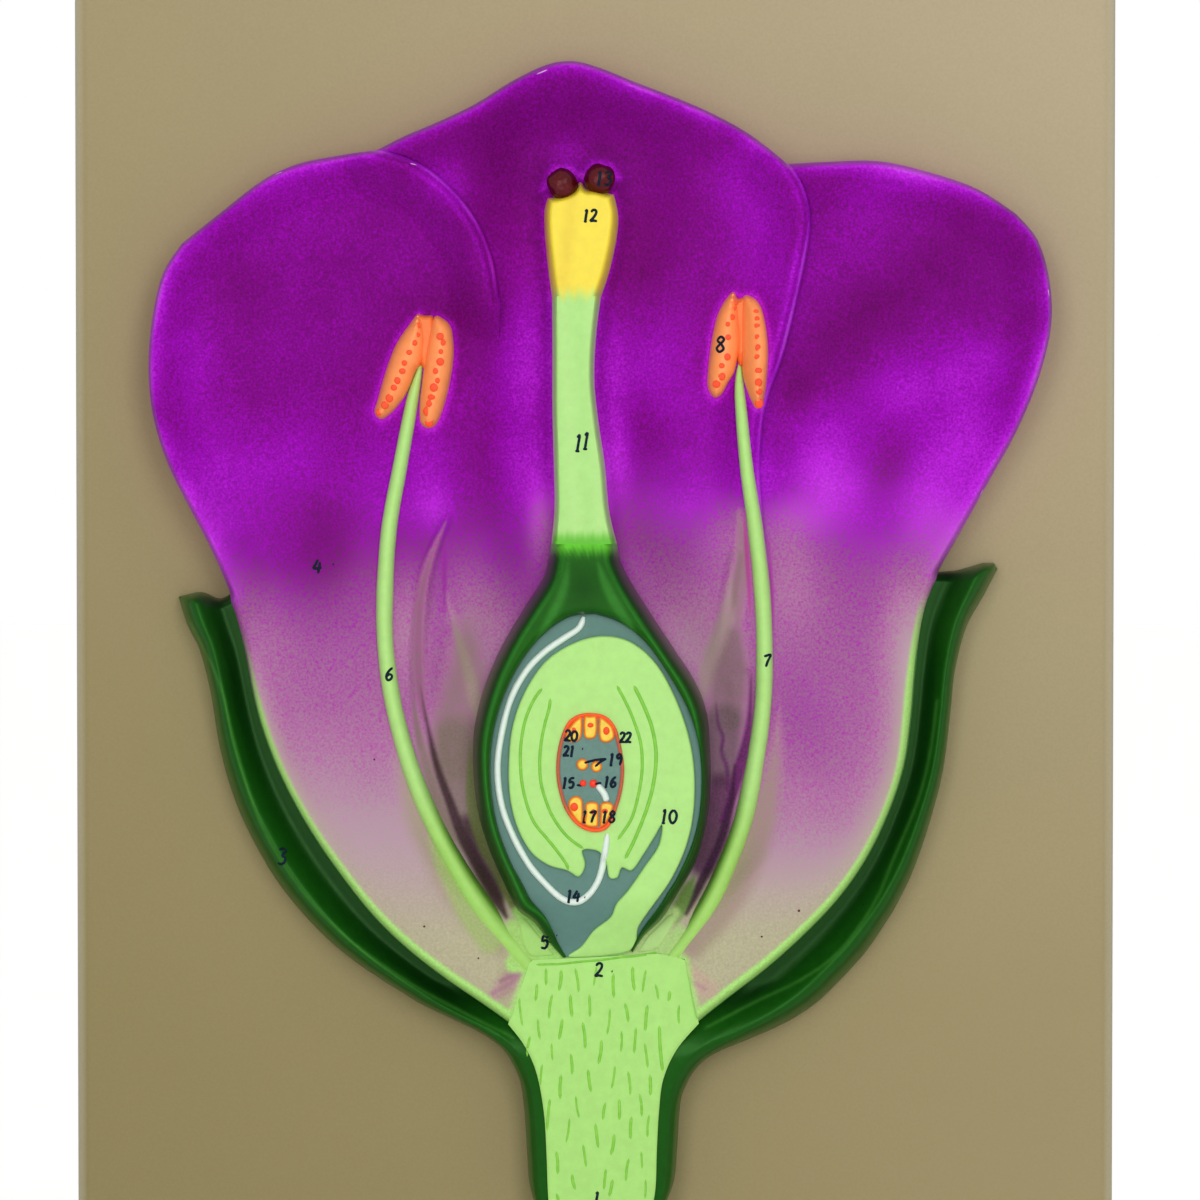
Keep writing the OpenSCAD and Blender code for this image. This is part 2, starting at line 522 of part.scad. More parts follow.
// Level of a sepal and its rind at the share u from the outer edge
function sepal_level(u, z, end_gap) =
    let (sepal = mix(sepal_edge, sepal_crest, lookup(u, sepal_rise))
                 - (sepal_crest - sepal_channel) * lookup(u, sepal_dip),
         rind = mix(sepal_edge, rind_level, lookup(u, rind_rise)))
    mix(sepal_edge, mix(rind, sepal, fade(z, rind_fade)), quarter(end_gap, end_round));
module left_sepal() {
    outer = smooth(left_outer);
    inner = aside(smooth(left_border), -seam / 2);
    ends = [[outer[0], inner[0]], [outer[len(outer) - 1], inner[len(inner) - 1]]];
    rows = sheet(outer, inner, ends[0], ends[1], sepal_columns, tight(38));
    color("#1f5c18") relief() difference() {
        casting([for (r = rows) [for (i = [0:len(r) - 1])
            [r[i][0], r[i][1], sepal_level(sepal_columns[i], r[i][1], reach(r[i], ends[1]))]]], 0);
        relief_pilots(left_sepal_screws);
    }
}
module right_sepal() {
    outer = smooth(right_outer);
    inner = aside(smooth(right_border), seam / 2);
    tip = concat([inner[len(inner) - 1]], right_tip, [outer[len(outer) - 1]]);
    columns = [for (u = backwards(sepal_columns)) 1 - u];
    rows = sheet(inner, outer, [inner[0], outer[0]], tip, columns, tight(38));
    color("#1f5c18") relief() difference() {
        casting([for (r = rows) [for (i = [0:len(r) - 1])
            [r[i][0], r[i][1], sepal_level(1 - columns[i], r[i][1], reach(r[i], tip))]]], 0);
        relief_pilots(right_sepal_screws);
    }
}

// Level of a petal at q: the surface with its rims, down to its free and cut edges
function petal_top(q, free, cut, over, over_share) =
    let (df = reach(q, free), dc = reach(q, cut), dn = reach(q, over),
         rise = max(free_rim_rise * rim(df), cut_rim_rise * rim(dc), over_rim_rise * over_share * rim(dn)))
    mix(free_edge, mix(cut_edge, ground(q) + rise, quarter(dc, rim_round)), quarter(df, rim_round));
function raised(rows, free, cut, over, over_fade) =
    [for (r = rows) [for (q = r) [q[0], q[1], petal_top(q, free, cut, over, fade(q[1], over_fade))]]];

// Edges and level of the middle petal, which the right stamen also lies on
middle_free = smooth(middle_top);
middle_rim = aside(smooth(right_seam), -seam / 2);
function middle_petal_top(q) = petal_top(q, middle_free, no_edge, middle_rim, fade(q[1], right_over_fade));

module left_petal() {
    cut = aside(upper(left_border), seam / 2);
    free = smooth(left_free);
    over = aside(smooth(left_over), seam / 2);
    inner = aside(smooth(left_seam), -seam / 2);
    foot = aside([cut[0], left_seam[0]], -seam / 2);
    top = smooth(left_top);
    rows = sheet(concat(cut, free), inner, foot, concat(top, over), tight(20), tight(32));
    color("#9420a8") relief() difference() {
        casting(raised(rows, concat(free, top), cut, over, left_over_fade), 0);
        relief_pilots(left_petal_screws);
    }
}
module middle_petal() {
    left = aside(concat(smooth(left_seam), backwards(smooth(left_over))), seam / 2);
    foot = aside([left_seam[0], receptacle_corner, right_seam[0]], -seam / 2);
    rows = sheet(left, middle_rim, foot, middle_free, closer(26), tight(36));
    color("#8a1a9c") relief() difference() {
        casting([for (r = rows) [for (q = r) [q[0], q[1], middle_petal_top(q)]]], 0);
        relief_pilots(middle_petal_screws);
    }
}
module right_petal() {
    cut = aside(upper(right_border), -seam / 2);
    free = smooth(right_free);
    inner = aside(smooth(right_seam), seam / 2);
    foot = aside([right_seam[0], cut[0]], -seam / 2);
    top = smooth(right_top);
    rows = sheet(inner, concat(cut, free), foot, top, tight(20), tight(32));
    color("#9420a8") relief() difference() {
        casting(raised(rows, concat(top, backwards(free)), cut, no_edge, right_over_fade), 0);
        relief_pilots(right_petal_screws);
    }
}

// Rows of plan points across a strand whose points carry their half width
function strand(line, n, columns) =
    let (p = along(smooth(line), even(n)))
    [for (i = [0:n])
        let (t = near(p, i + 1) - near(p, i - 1), l = norm([t[0], t[1]]), w = p[i][2])
        [for (s = columns) [p[i][0] + s * w * t[1] / l, p[i][1] - s * w * t[0] / l]]];
function middle(row) = (row[0] + row[len(row) - 1]) / 2;
// Level that a stamen lies on, its under side there, and its rounded top up to one crest level a row
function bed(q) = q[0] > 0 ? middle_petal_top(q) : ground(q);
function stamen_under(rows) = [for (r = rows) [for (q = r) [q[0], q[1], bed(q) + stamen_gap]]];
function rounded(under, crests) =
    [for (j = [0:len(under) - 1]) [for (i = [0:len(bead_columns) - 1])
        let (q = under[j][i], base = q[2] + bead_side, s = bead_columns[i])
        [q[0], q[1], base + max(0, crests[j] - base) * sqrt(1 - s * s)]]];
module filament(line) {
    rows = strand(line, 26, bead_columns);
    under = stamen_under(rows);
    crests = [for (r = rows) let (q = middle(r))
        mix(stem_level, bed(q) + filament_rise, fade(q[1], foot_fade))];
    color("#a0e070") relief() bead(rounded(under, crests), under);
}
module anther(lobes) {
    color("#f09a58") relief() for (lobe = lobes) {
        rows = strand(lobe, 12, bead_columns);
        under = stamen_under(rows);
        crests = [for (r = rows) let (w = norm(r[0] - r[len(r) - 1]) / 2)
            bed(middle(r)) + anther_rise * sqrt(min(1, w / lobe_full))];
        bead(rounded(under, crests), under);
    }
}
module left_filament() { filament(left_filament_line); }
module right_filament() { filament(right_filament_line); }
module left_anther() { anther(left_anther_lobes); }
module right_anther() { anther(right_anther_lobes); }

// Nectaries, level with the stem's cut face
module left_nectary() {
    color("#b4e080") relief() plate(left_nectary_edge, pistil_floor + glue, stem_level);
}
module right_nectary() {
    color("#b4e080") relief() plate(right_nectary_edge, pistil_floor + glue, stem_level);
}

// Ovary wall: an arch round the chamber, open at its foot
module ovary_wall() {
    legs = [smooth(ovary_left), smooth(ovary_right)];
    steps = 18;
    apex = [0.955, 0.975];
    outer = [for (leg = legs) along(leg, even(steps))];
    inner = [for (edge = [aside(smooth(chamber_left), -seam), aside(smooth(chamber_right), seam)])
        concat(along(edge, mix(even(steps), closer(steps), 0.5) * apex[0]), along(edge, [apex[1], 1]))];
    crown = [for (k = [1:3]) mix(outer[0][steps], outer[1][steps], k / 4)];
    pairs = concat([for (k = [0:steps]) [outer[0][k], inner[0][k]]],
                   [[crown[0], inner[0][steps + 1]], [crown[1], inner[0][steps + 2]],
                    [crown[2], inner[1][steps + 1]]],
                   [for (k = [steps:-1:0]) [outer[1][k], inner[1][k]]]);
    color("#1d6a1c") relief() casting([for (p = pairs) [for (u = wall_columns)
        let (q = mix(p[0], p[1], u), d = min(reach(q, legs[0]), reach(q, legs[1])),
             crest = mix(ovary_level, style_level, fade(q[1], shoulder_fade)))
        [q[0], q[1], mix(pistil_floor + pistil_side, crest, quarter(d, ovary_round))]]],
        pistil_floor + glue);
}
module ovary_chamber() {
    right = smooth(chamber_right);
    edge = concat(smooth(chamber_left), backwards(part(right, 0, len(right) - 2)));
    color("#5a8078") relief() plate(edge, pistil_floor + glue, chamber_level);
}
module ovule() {
    color("#b0e488") relief() plate(smooth_loop(ovule_edge, 3), chamber_level + glue, ovule_level);
}

// Embryo sac: a plate with a raised rim, and the cells on it
module embryo_sac() {
    edge = smooth_loop(sac_edge, 3);
    color("#5a8078") relief() {
        plate(edge, ovule_level + glue, sac_level);
        difference() {
            plate(edge, sac_level, sac_level + sac_rim_rise);
            plate(inset(edge, sac_rim_w), sac_level - bite, sac_level + bite);
        }
    }
}
function inset(loop, d) =
    let (c = len(loop))
    [for (i = [0:c - 1])
        let (t = loop[(i + 1) % c] - loop[(i + c - 1) % c])
        loop[i] + d * [t[1], -t[0]] / norm(t)];
module cells(edges, tint) {
    color(tint) relief() for (edge = edges) intersection() {
        plate(smooth_loop(edge, 3), sac_level + glue, sac_level + cell_rise);
        plate(inset(smooth_loop(sac_edge, 3), sac_rim_w + glue), sac_level, sac_level + bite);
    }
}
module antipodal_cells() { cells(antipodal_edges, "#f0c840"); }
module egg_apparatus() { cells(egg_edges, "#f0c840"); }
// Low domes on the sac's plate
module domes(places, d) {
    ball = (d * d / 4 + cell_rise * cell_rise) / (2 * cell_rise);
    relief() for (q = places) translate([q[0], 0, q[1]]) plan(sac_level + glue) intersection() {
        translate([0, 0, cell_rise - ball]) sphere(ball);
        cylinder(d = 2 * d, h = bite);
    }
}
module polar_nuclei() { color("#f4b83c") domes(polar_at, polar_d); }
module male_gametes() { color("#f0402c") domes(gamete_at, gamete_d); }
module pollen_tube() {
    color("#dcece0") relief() {
        tube_run(tube_chamber, chamber_level, 46);
        tube_run(tube_ovule, ovule_level, 4);
        tube_run(tube_sac, sac_level, 4);
    }
}
module tube_run(line, level, n) {
    rows = strand([for (q = line) [q[0], q[1], tube_w / 2]], n, tube_columns);
    under = [for (r = rows) [for (q = r) [q[0], q[1], level + glue]]];
    side = tube_rise / 3;
    bead([for (r = under) [for (i = [0:len(r) - 1])
        let (s = tube_columns[i])
        [r[i][0], r[i][1], r[i][2] + side + (tube_rise - side) * sqrt(1 - s * s)]]], under);
}

// Style and stigma: the upper pistil's cut face with rounded sides
module column(left, right, head, sides, round_w) {
    foot = [left[0], right[0]];
    rows = sheet(left, right, foot, head, tight(10), tight(16));
    casting([for (r = rows) [for (q = r)
        [q[0], q[1], mix(pistil_floor + pistil_side, style_level,
                         quarter(min([for (side = sides) reach(q, side)]), round_w))]]],
        pistil_floor + glue);
}
module style() {
    rise = [0, seam];
    left = smooth(concat([ovary_left[len(ovary_left) - 1] + rise], style_left));
    right = smooth(concat([ovary_right[len(ovary_right) - 1] + rise], style_right));
    color("#a8e078") relief()
        column(left, right, [left[len(left) - 1], right[len(right) - 1]], [left, right], style_round);
}
module stigma() {
    rise = [0, seam];
    left = smooth(concat([style_left[len(style_left) - 1] + rise], stigma_left));
    right = smooth(concat([style_right[len(style_right) - 1] + rise], stigma_right));
    top = smooth(stigma_top);
    color("#f2dc3c") relief() difference() {
        column(left, right, top, [left, right, top], stigma_round);
        grains(glue);
    }
}
module grains(gap) {
    for (q = grain_at) translate([q[0], -grain_level, q[1]]) sphere(d = grain_d + 2 * gap);
}
module pollen_grains() { color("#6a0c1c") relief() grains(0); }

// Hangers on the board's back: a curled strap with a ring that swings about its bar
module strap_screw_place(x, z) { translate([x, back_y + strap_t, z]) rotate([90, 0, 0]) children(); }
module hanger_strap(x) {
    color("#b8b8b0") difference() {
        union() {
            translate([x - strap_w / 2, back_y, bar_z - strap_l]) cube([strap_w, strap_t, strap_l]);
            translate([x, bar_y, bar_z]) rotate([0, 90, 0]) cylinder(r = curl_r, h = strap_w, center = true);
        }
        translate([x, bar_y, bar_z]) rotate([0, 90, 0])
            cylinder(r = curl_r - strap_t, h = strap_w + 2 * bite, center = true);
        for (z = strap_screw_z) strap_screw_place(x, z) translate([0, 0, -bite])
            cylinder(d = strap_screw_d + 2 * screw_gap, h = strap_t + 2 * bite);
    }
}
module left_hanger_strap() { hanger_strap(hanger_x[0]); }
module right_hanger_strap() { hanger_strap(hanger_x[1]); }
// Ring of bent wire: a straight bar above, round corners and a half circle below
module hanging_ring(x) {
    reach_x = ring_r - corner_r;
    color("#c8c8c0") translate([x, bar_y, bar_z]) rotate([90, 0, 0]) {
        rotate([0, 90, 0]) cylinder(d = ring_wire, h = 2 * reach_x, center = true);
        translate([reach_x, -corner_r, 0]) wire_bend(corner_r, 0, 90);
        translate([-reach_x, -corner_r, 0]) wire_bend(corner_r, 90, 90);
        translate([0, -corner_r, 0]) wire_bend(ring_r, 180, 180);
    }
}
module wire_bend(r, from, turn) {
    rotate([0, 0, from]) rotate_extrude(angle = turn) translate([r, 0]) circle(d = ring_wire);
}
module left_hanging_ring() { hanging_ring(hanger_x[0]); }
module right_hanging_ring() { hanging_ring(hanger_x[1]); }
module hanger_screws() {
    color("silver") for (x = hanger_x) for (z = strap_screw_z) strap_screw_place(x, z) {
        cylinder(d = strap_screw_d, h = strap_t + strap_grip);
        translate([0, 0, -strap_head_h]) difference() {
            cylinder(d = strap_head_d, h = strap_head_h);
            recess();
        }
    }
}

backing_board();
stem_core();
left_sepal();
right_sepal();
left_petal();
middle_petal();
right_petal();
left_filament();
left_anther();
right_filament();
right_anther();
left_nectary();
right_nectary();
ovary_wall();
ovary_chamber();
ovule();
embryo_sac();
antipodal_cells();
egg_apparatus();
polar_nuclei();
male_gametes();
pollen_tube();
style();
stigma();
pollen_grains();
relief_screws();
left_hanger_strap();
right_hanger_strap();
left_hanging_ring();
right_hanging_ring();
hanger_screws();
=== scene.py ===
import json
import math
import bmesh
import bpy
import numpy as np
from mathutils import Matrix, Vector, geometry, noise
from mathutils.bvhtree import BVHTree

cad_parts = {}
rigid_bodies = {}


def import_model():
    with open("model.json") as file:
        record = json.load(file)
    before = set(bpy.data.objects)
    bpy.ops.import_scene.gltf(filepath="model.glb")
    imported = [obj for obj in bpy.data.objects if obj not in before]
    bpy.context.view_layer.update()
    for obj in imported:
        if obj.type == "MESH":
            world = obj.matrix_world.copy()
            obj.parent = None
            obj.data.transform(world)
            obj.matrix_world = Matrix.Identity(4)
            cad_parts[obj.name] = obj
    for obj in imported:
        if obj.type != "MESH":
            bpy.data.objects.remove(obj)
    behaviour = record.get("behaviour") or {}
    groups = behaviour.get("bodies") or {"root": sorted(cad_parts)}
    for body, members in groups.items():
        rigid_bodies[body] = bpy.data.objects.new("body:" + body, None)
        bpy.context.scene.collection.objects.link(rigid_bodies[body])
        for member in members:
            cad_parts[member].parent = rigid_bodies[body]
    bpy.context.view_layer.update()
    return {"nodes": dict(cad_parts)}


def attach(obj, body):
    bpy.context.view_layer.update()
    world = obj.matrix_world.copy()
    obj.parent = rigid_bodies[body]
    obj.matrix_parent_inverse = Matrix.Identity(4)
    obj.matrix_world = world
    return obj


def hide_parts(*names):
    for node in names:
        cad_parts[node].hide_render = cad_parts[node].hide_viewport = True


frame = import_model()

print("botanical flower: frame loaded")

# Points are in millimetres on the board's face: x to the right, z up, and a level out of the face.
boardHalf = 6
toWorld = Matrix(((1, 0, 0, 0), (0, 0, -1, -boardHalf), (0, 1, 0, 0), (0, 0, 0, 1000))) * 0.001


# Curves

def smooth(points, steps=8):
    p = np.array(points, float)
    q = np.vstack([p[:1], p, p[-1:]])
    t = (np.arange(steps) / steps)[:, None]
    rows = [0.5 * (2 * b + (c - a) * t + (2 * a - 5 * b + 4 * c - d) * t ** 2 + (3 * b - a - 3 * c + d) * t ** 3)
            for a, b, c, d in zip(q[:-3], q[1:-2], q[2:-1], q[3:])]
    return np.vstack(rows + [p[-1:]])


def smoothLoop(points, steps=8):
    p = list(points)
    return smooth([p[-1]] + p + p[:2], steps)[steps:-steps - 1]


def along(points, shares):
    p = np.asarray(points, float)
    run = np.concatenate([[0], np.cumsum(np.linalg.norm(np.diff(p, axis=0), axis=1))])
    return np.stack([np.interp(np.asarray(shares) * run[-1], run, p[:, k]) for k in range(p.shape[1])], 1)


def even(n):
    return np.arange(n + 1) / n


def tight(n, share=0.6):  # closer together at both ends
    return (1 - share) * even(n) + share * (1 - np.cos(np.pi * even(n))) / 2


def tangents(path):
    p = np.vstack([path[:1], path, path[-1:]])[:, :2]
    t = p[2:] - p[:-2]
    return t / np.linalg.norm(t, axis=1)[:, None]


def aside(path, d):
    t = tangents(path)
    moved = np.array(path, float)
    moved[:, :2] += d * np.stack([t[:, 1], -t[:, 0]], 1)
    return moved


def reach(q, path):  # distance to a path, less the path's own half width where it has one
    q = np.asarray(q, float)[:, :2]
    path = np.asarray(path, float)
    best = np.full(len(q), 1e9)
    for a, b in zip(path[:-1], path[1:]):
        ab = b[:2] - a[:2]
        t = np.clip((q - a[:2]) @ ab / max(ab @ ab, 1e-9), 0, 1)
        gap = np.hypot(*(q - a[:2] - t[:, None] * ab).T)
        if len(a) > 2:
            gap -= a[2] + (b[2] - a[2]) * t
        best = np.minimum(best, gap)
    return best


def near(q, path, width):  # 1 on a path, fading to 0 at a distance
    return 1 - ease(reach(q, path) / width)


def inside(q, loop):
    a, b = loop, np.roll(loop, -1, axis=0)
    x, z = q[:, 0, None], q[:, 1, None]
    with np.errstate(divide="ignore", invalid="ignore"):
        cross = (a[:, 1] > z) != (b[:, 1] > z)
        hit = x < (b[:, 0] - a[:, 0]) * (z - a[:, 1]) / (b[:, 1] - a[:, 1]) + a[:, 0]
    return (cross & hit).sum(1) % 2 == 1


def sheet(left, right, foot, head, across, up):
    l, r, f, h = along(left, up), along(right, up), along(foot, across), along(head, across)
    u, v = across[None, :, None], up[:, None, None]
    return ((1 - v) * f + v * h + (1 - u) * l[:, None] + u * r[:, None]
            - (1 - u) * (1 - v) * f[0] - u * (1 - v) * f[-1] - (1 - u) * v * h[0] - u * v * h[-1])


def ease(t):
    c = np.clip(t, 0, 1)
    return c * c * (3 - 2 * c)


def fall(d, width):  # from 1 down to 0 over a width
    return 1 - ease(d / width)


def bell(d, width):
    return np.exp(-(d / width) ** 2)


def quarter(d, r):
    return np.sqrt(1 - np.clip(1 - d / r, 0, 1) ** 2)


def mix(a, b, t):
    return a + (b - a) * t


# Paint

def linear(colour):
    c = np.asarray(colour, float) / 255
    return np.where(c <= 0.04045, c / 12.92, ((c + 0.055) / 1.055) ** 2.4)


def rgba(colour):
    return (*[float(v) for v in linear(colour)], 1)


def undercoat(q, colour):
    return np.tile(np.array(colour, float), (len(q), 1))


def plain(colour):
    return lambda v: {"paint": undercoat(v, colour)}


def lay(paint, colour, share):  # a layer of another colour over the paint
    paint += (np.asarray(colour, float) - paint) * np.clip(share, 0, 1)[:, None]


def blob(q, x, z, rx, rz, turn=0):
    c, s = math.cos(math.radians(turn)), math.sin(math.radians(turn))
    dx, dz = q[:, 0] - x, q[:, 1] - z
    return np.exp(-((dx * c + dz * s) / rx) ** 2 - ((dz * c - dx * s) / rz) ** 2)


# Meshes

relief = set()  # names of the pieces made so far
sharpAngle = 42


def addLayer(mesh, key, values):  # colours or numbers on a mesh's points
    if values.ndim == 2:
        layer = mesh.attributes.new(key, "FLOAT_COLOR", "POINT")
        layer.data.foreach_set("color", np.hstack([linear(values), np.ones((len(values), 1))]).ravel())
    else:
        mesh.attributes.new(key, "FLOAT", "POINT").data.foreach_set("value", values.ravel())


def finishMesh(name, verts, faces, layers):
    mesh = bpy.data.meshes.new(name)
    mesh.from_pydata(verts.tolist(), [], faces)
    mesh.transform(toWorld)
    for key, values in layers.items():
        addLayer(mesh, key, values)
    mesh.validate()
    mesh.polygons.foreach_set("use_smooth", [True] * len(mesh.polygons))
    mesh.set_sharp_from_angle(angle=math.radians(sharpAngle))
    return mesh


def sideFaces(ring, count):
    n = len(ring)
    walls = [(ring[k], count + k, count + (k + 1) % n, ring[(k + 1) % n]) for k in range(n)]
    return walls + [tuple(range(count + n - 1, count - 1, -1))]


def gridPiece(name, rows, level, low, paint):  # closed casting under rows of points, each with a level
    n, m = rows.shape[:2]
    top = np.column_stack([rows.reshape(-1, 2), level.ravel()])
    a = (np.arange(n - 1)[:, None] * m + np.arange(m - 1)).ravel()
    faces = [tuple(f) for f in np.stack([a, a + 1, a + m + 1, a + m], 1).tolist()]
    ring = (list(range(m)) + [j * m + m - 1 for j in range(1, n)]
            + [(n - 1) * m + i for i in range(m - 2, -1, -1)] + [j * m for j in range(n - 2, 0, -1)])
    base = top[ring].copy()
    base[:, 2] = low
    verts = np.vstack([top, base])
    return finishMesh(name, verts, faces + sideFaces(ring, len(top)), paint(verts))


def padPiece(name, loop, low, topOf, paint, rounding, spacing):  # closed pad with an outline
    loop = along(np.vstack([loop, loop[:1]]), even(max(24, int(len(loop) * 2))))[:-1]
    if np.sum(loop[:, 0] * np.roll(loop[:, 1], -1) - loop[:, 1] * np.roll(loop[:, 0], -1)) < 0:
        loop = loop[::-1]
    closed = np.vstack([loop, loop[:1]])
    t = np.roll(loop, -1, axis=0) - np.roll(loop, 1, axis=0)
    inward = np.stack([-t[:, 1], t[:, 0]], 1) / np.linalg.norm(t, axis=1)[:, None]
    points = [loop]
    for share in (0.07, 0.22, 0.45, 0.72, 1):
        q = loop + inward * rounding * share
        keep = inside(q, loop) & (reach(q, closed) > 0.96 * rounding * share)
        points.append(q[keep][::1 if share < 0.5 else 2])
    least, most = loop.min(0), loop.max(0)
    gx, gz = np.meshgrid(np.arange(least[0], most[0], spacing), np.arange(least[1], most[1], spacing * 0.87))
    gx[1::2] += spacing / 2
    q = np.stack([gx.ravel(), gz.ravel()], 1)
    q = q[inside(q, loop)]
    points.append(q[reach(q, closed) > rounding + spacing * 0.5])
    p = np.vstack(points)
    n = len(loop)
    out = geometry.delaunay_2d_cdt([Vector(v) for v in p.tolist()], [], [list(range(n))], 1, 1e-5)
    flat = np.array([tuple(v) for v in out[0]])
    faces = [tuple(f) for f in out[2]]
    ring = [None] * n
    for k, source in enumerate(out[3]):
        for s in source:
            if s < n:
                ring[s] = k
    d = reach(flat, closed)
    top = np.column_stack([flat, topOf(flat, d)])
    base = top[ring].copy()
    base[:, 2] = low(base) if callable(low) else low
    verts = np.vstack([top, base])
    return finishMesh(name, verts, faces + sideFaces(ring, len(top)), paint(verts))


def joinMeshes(name, meshes):
    joined = bmesh.new()
    for mesh in meshes:
        joined.from_mesh(mesh)
    result = bpy.data.meshes.new(name)
    joined.to_mesh(result)
    return result


def addObject(name, data):
    item = bpy.data.objects.new(name, data)
    bpy.context.scene.collection.objects.link(item)
    return item


def addPiece(mesh, material, body="board", replaces=()):
    piece = addObject(mesh.name, mesh)
    mesh.materials.clear()
    mesh.materials.append(material)
    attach(piece, body)
    relief.add(piece.name)
    if replaces:
        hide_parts(*replaces)


# Materials

def put(tree, kind, inputs=None, **settings):
    node = tree.nodes.new(kind)
    for key, value in settings.items():
        setattr(node, key, value)
    for key, value in (inputs or {}).items():
        if isinstance(value, bpy.types.NodeSocket):
            tree.links.new(value, node.inputs[key])
        else:
            node.inputs[key].default_value = value
    return node


def mixColour(tree, share, a, b):
    return put(tree, "ShaderNodeMix", {0: share, 6: a, 7: b}, data_type="RGBA").outputs[2]


def arithmetic(tree, operation, a, b, c=0.0, clamp=False):
    return put(tree, "ShaderNodeMath", {0: a, 1: b, 2: c}, operation=operation, use_clamp=clamp).outputs[0]


def ranged(tree, value, low=0.0, high=1.0, toLow=0.0, toHigh=1.0):
    return put(tree, "ShaderNodeMapRange", {"Value": value, "From Min": low, "From Max": high, "To Min": toLow,
                                            "To Max": toHigh}).outputs[0]


def scaled(tree, colour, share):
    return put(tree, "ShaderNodeVectorMath", {0: colour, "Scale": share}, operation="SCALE").outputs[0]


def layerOf(tree, name, output="Fac"):
    return put(tree, "ShaderNodeAttribute", attribute_name=name).outputs[output]


def speckle(tree, size, detail=2.0, stretch=(1, 1, 1)):  # noise with features of a size in millimetres
    place = put(tree, "ShaderNodeTexCoord").outputs["Object"]
    if stretch != (1, 1, 1):
        place = put(tree, "ShaderNodeMapping", {"Vector": place, "Scale": stretch}).outputs[0]
    return put(tree, "ShaderNodeTexNoise", {"Vector": place, "Scale": 600 / size, "Detail": detail,
                                            "Roughness": 0.6}).outputs["Fac"]


def newMaterial(name):
    material = bpy.data.materials.new(name)
    material.use_nodes = True
    tree = material.node_tree
    return material, tree, tree.nodes["Principled BSDF"]


def surfaceOf(tree, shader, colour, roughness, gloss, tint, grain, depth):
    uneven = ranged(tree, speckle(tree, 2.5), toLow=roughness - 0.05, toHigh=roughness + 0.05)
    bump = put(tree, "ShaderNodeBump", {"Height": grain, "Distance": depth * 0.001, "Strength": 1.0}).outputs[0]
    tree.links.new(colour, shader.inputs["Base Color"])
    tree.links.new(uneven, shader.inputs["Roughness"])
    tree.links.new(bump, shader.inputs["Normal"])
    shader.inputs["Specular IOR Level"].default_value = gloss
    shader.inputs["Specular Tint"].default_value = (*tint, 1)


purple = {
    # spray paint from deep to bright: tint and colour; the shades above 1 are painted highlights for the rims
    "shades": [(0, (98, 3, 92)), (0.3, (124, 6, 130)), (0.6, (152, 10, 178)), (1, (190, 36, 222)),
        (1.4, (206, 76, 238))],
    "speckleSize": 0.42, "speckleSwing": 0.8, "sprayEdge": 1.2, "thin": (166, 34, 154), "cloudSize": 14,
    "cloudSwing": 0.4, "roughness": 0.38, "gloss": 0.13, "glossTint": (0.75, 0.08, 0.95), "bump": 0.05,
}


def makePurple():
    material, tree, shader = newMaterial("purplePaint")
    coat = layerOf(tree, "coat")
    fine = speckle(tree, purple["speckleSize"])
    swing = arithmetic(tree, "SUBTRACT", fine, 0.5)
    thin = arithmetic(tree, "MULTIPLY", arithmetic(tree, "SUBTRACT", 1.0, coat), coat)
    extra = arithmetic(tree, "MULTIPLY", arithmetic(tree, "MULTIPLY", thin, 4 * purple["sprayEdge"]), swing)
    cover = arithmetic(tree, "ADD", coat, extra, clamp=True)
    shade = arithmetic(tree, "MULTIPLY_ADD", swing, purple["speckleSwing"], layerOf(tree, "tint"))
    cloud = arithmetic(tree, "SUBTRACT", speckle(tree, purple["cloudSize"]), 0.5)
    shade = arithmetic(tree, "MULTIPLY_ADD", cloud, purple["cloudSwing"], shade)
    span = purple["shades"][-1][0]
    ramp = put(tree, "ShaderNodeValToRGB", {"Fac": arithmetic(tree, "DIVIDE", shade, span)})
    points = ramp.color_ramp.elements
    while len(points) < len(purple["shades"]):
        points.new(0.5)
    for point, (place, colour) in zip(points, purple["shades"]):
        point.position = place / span
        point.color = rgba(colour)
    colour = mixColour(tree, ranged(tree, coat, 1.0, 0.6), ramp.outputs["Color"], rgba(purple["thin"]))
    colour = mixColour(tree, cover, layerOf(tree, "base", "Color"), colour)
    colour = scaled(tree, colour, arithmetic(tree, "MULTIPLY_ADD", swing, 0.5, 1.0))
    surfaceOf(tree, shader, colour, purple["roughness"], purple["gloss"], purple["glossTint"], fine, purple["bump"])
    return material


def makePaint(name, roughness, gloss, tint, depth, size, swing):
    material, tree, shader = newMaterial(name)
    brushed = speckle(tree, size, 3)
    light = ranged(tree, brushed, 0.25, 0.75, 1 - swing, 1 + swing)
    colour = scaled(tree, layerOf(tree, "paint", "Color"), light)
    surfaceOf(tree, shader, colour, roughness, gloss, tint, brushed, depth)
    return material


def makeInk(name, colour, other, roughness=0.4, gloss=0.25):
    material, tree, shader = newMaterial(name)
    grain = speckle(tree, 1.0, 3)
    colour = mixColour(tree, ranged(tree, grain, 0.3, 0.7), rgba(colour), rgba(other))
    surfaceOf(tree, shader, colour, roughness, gloss, (1, 1, 1), grain, 0.02)
    return material


print("botanical flower: paints")
petalPaint = makePurple()
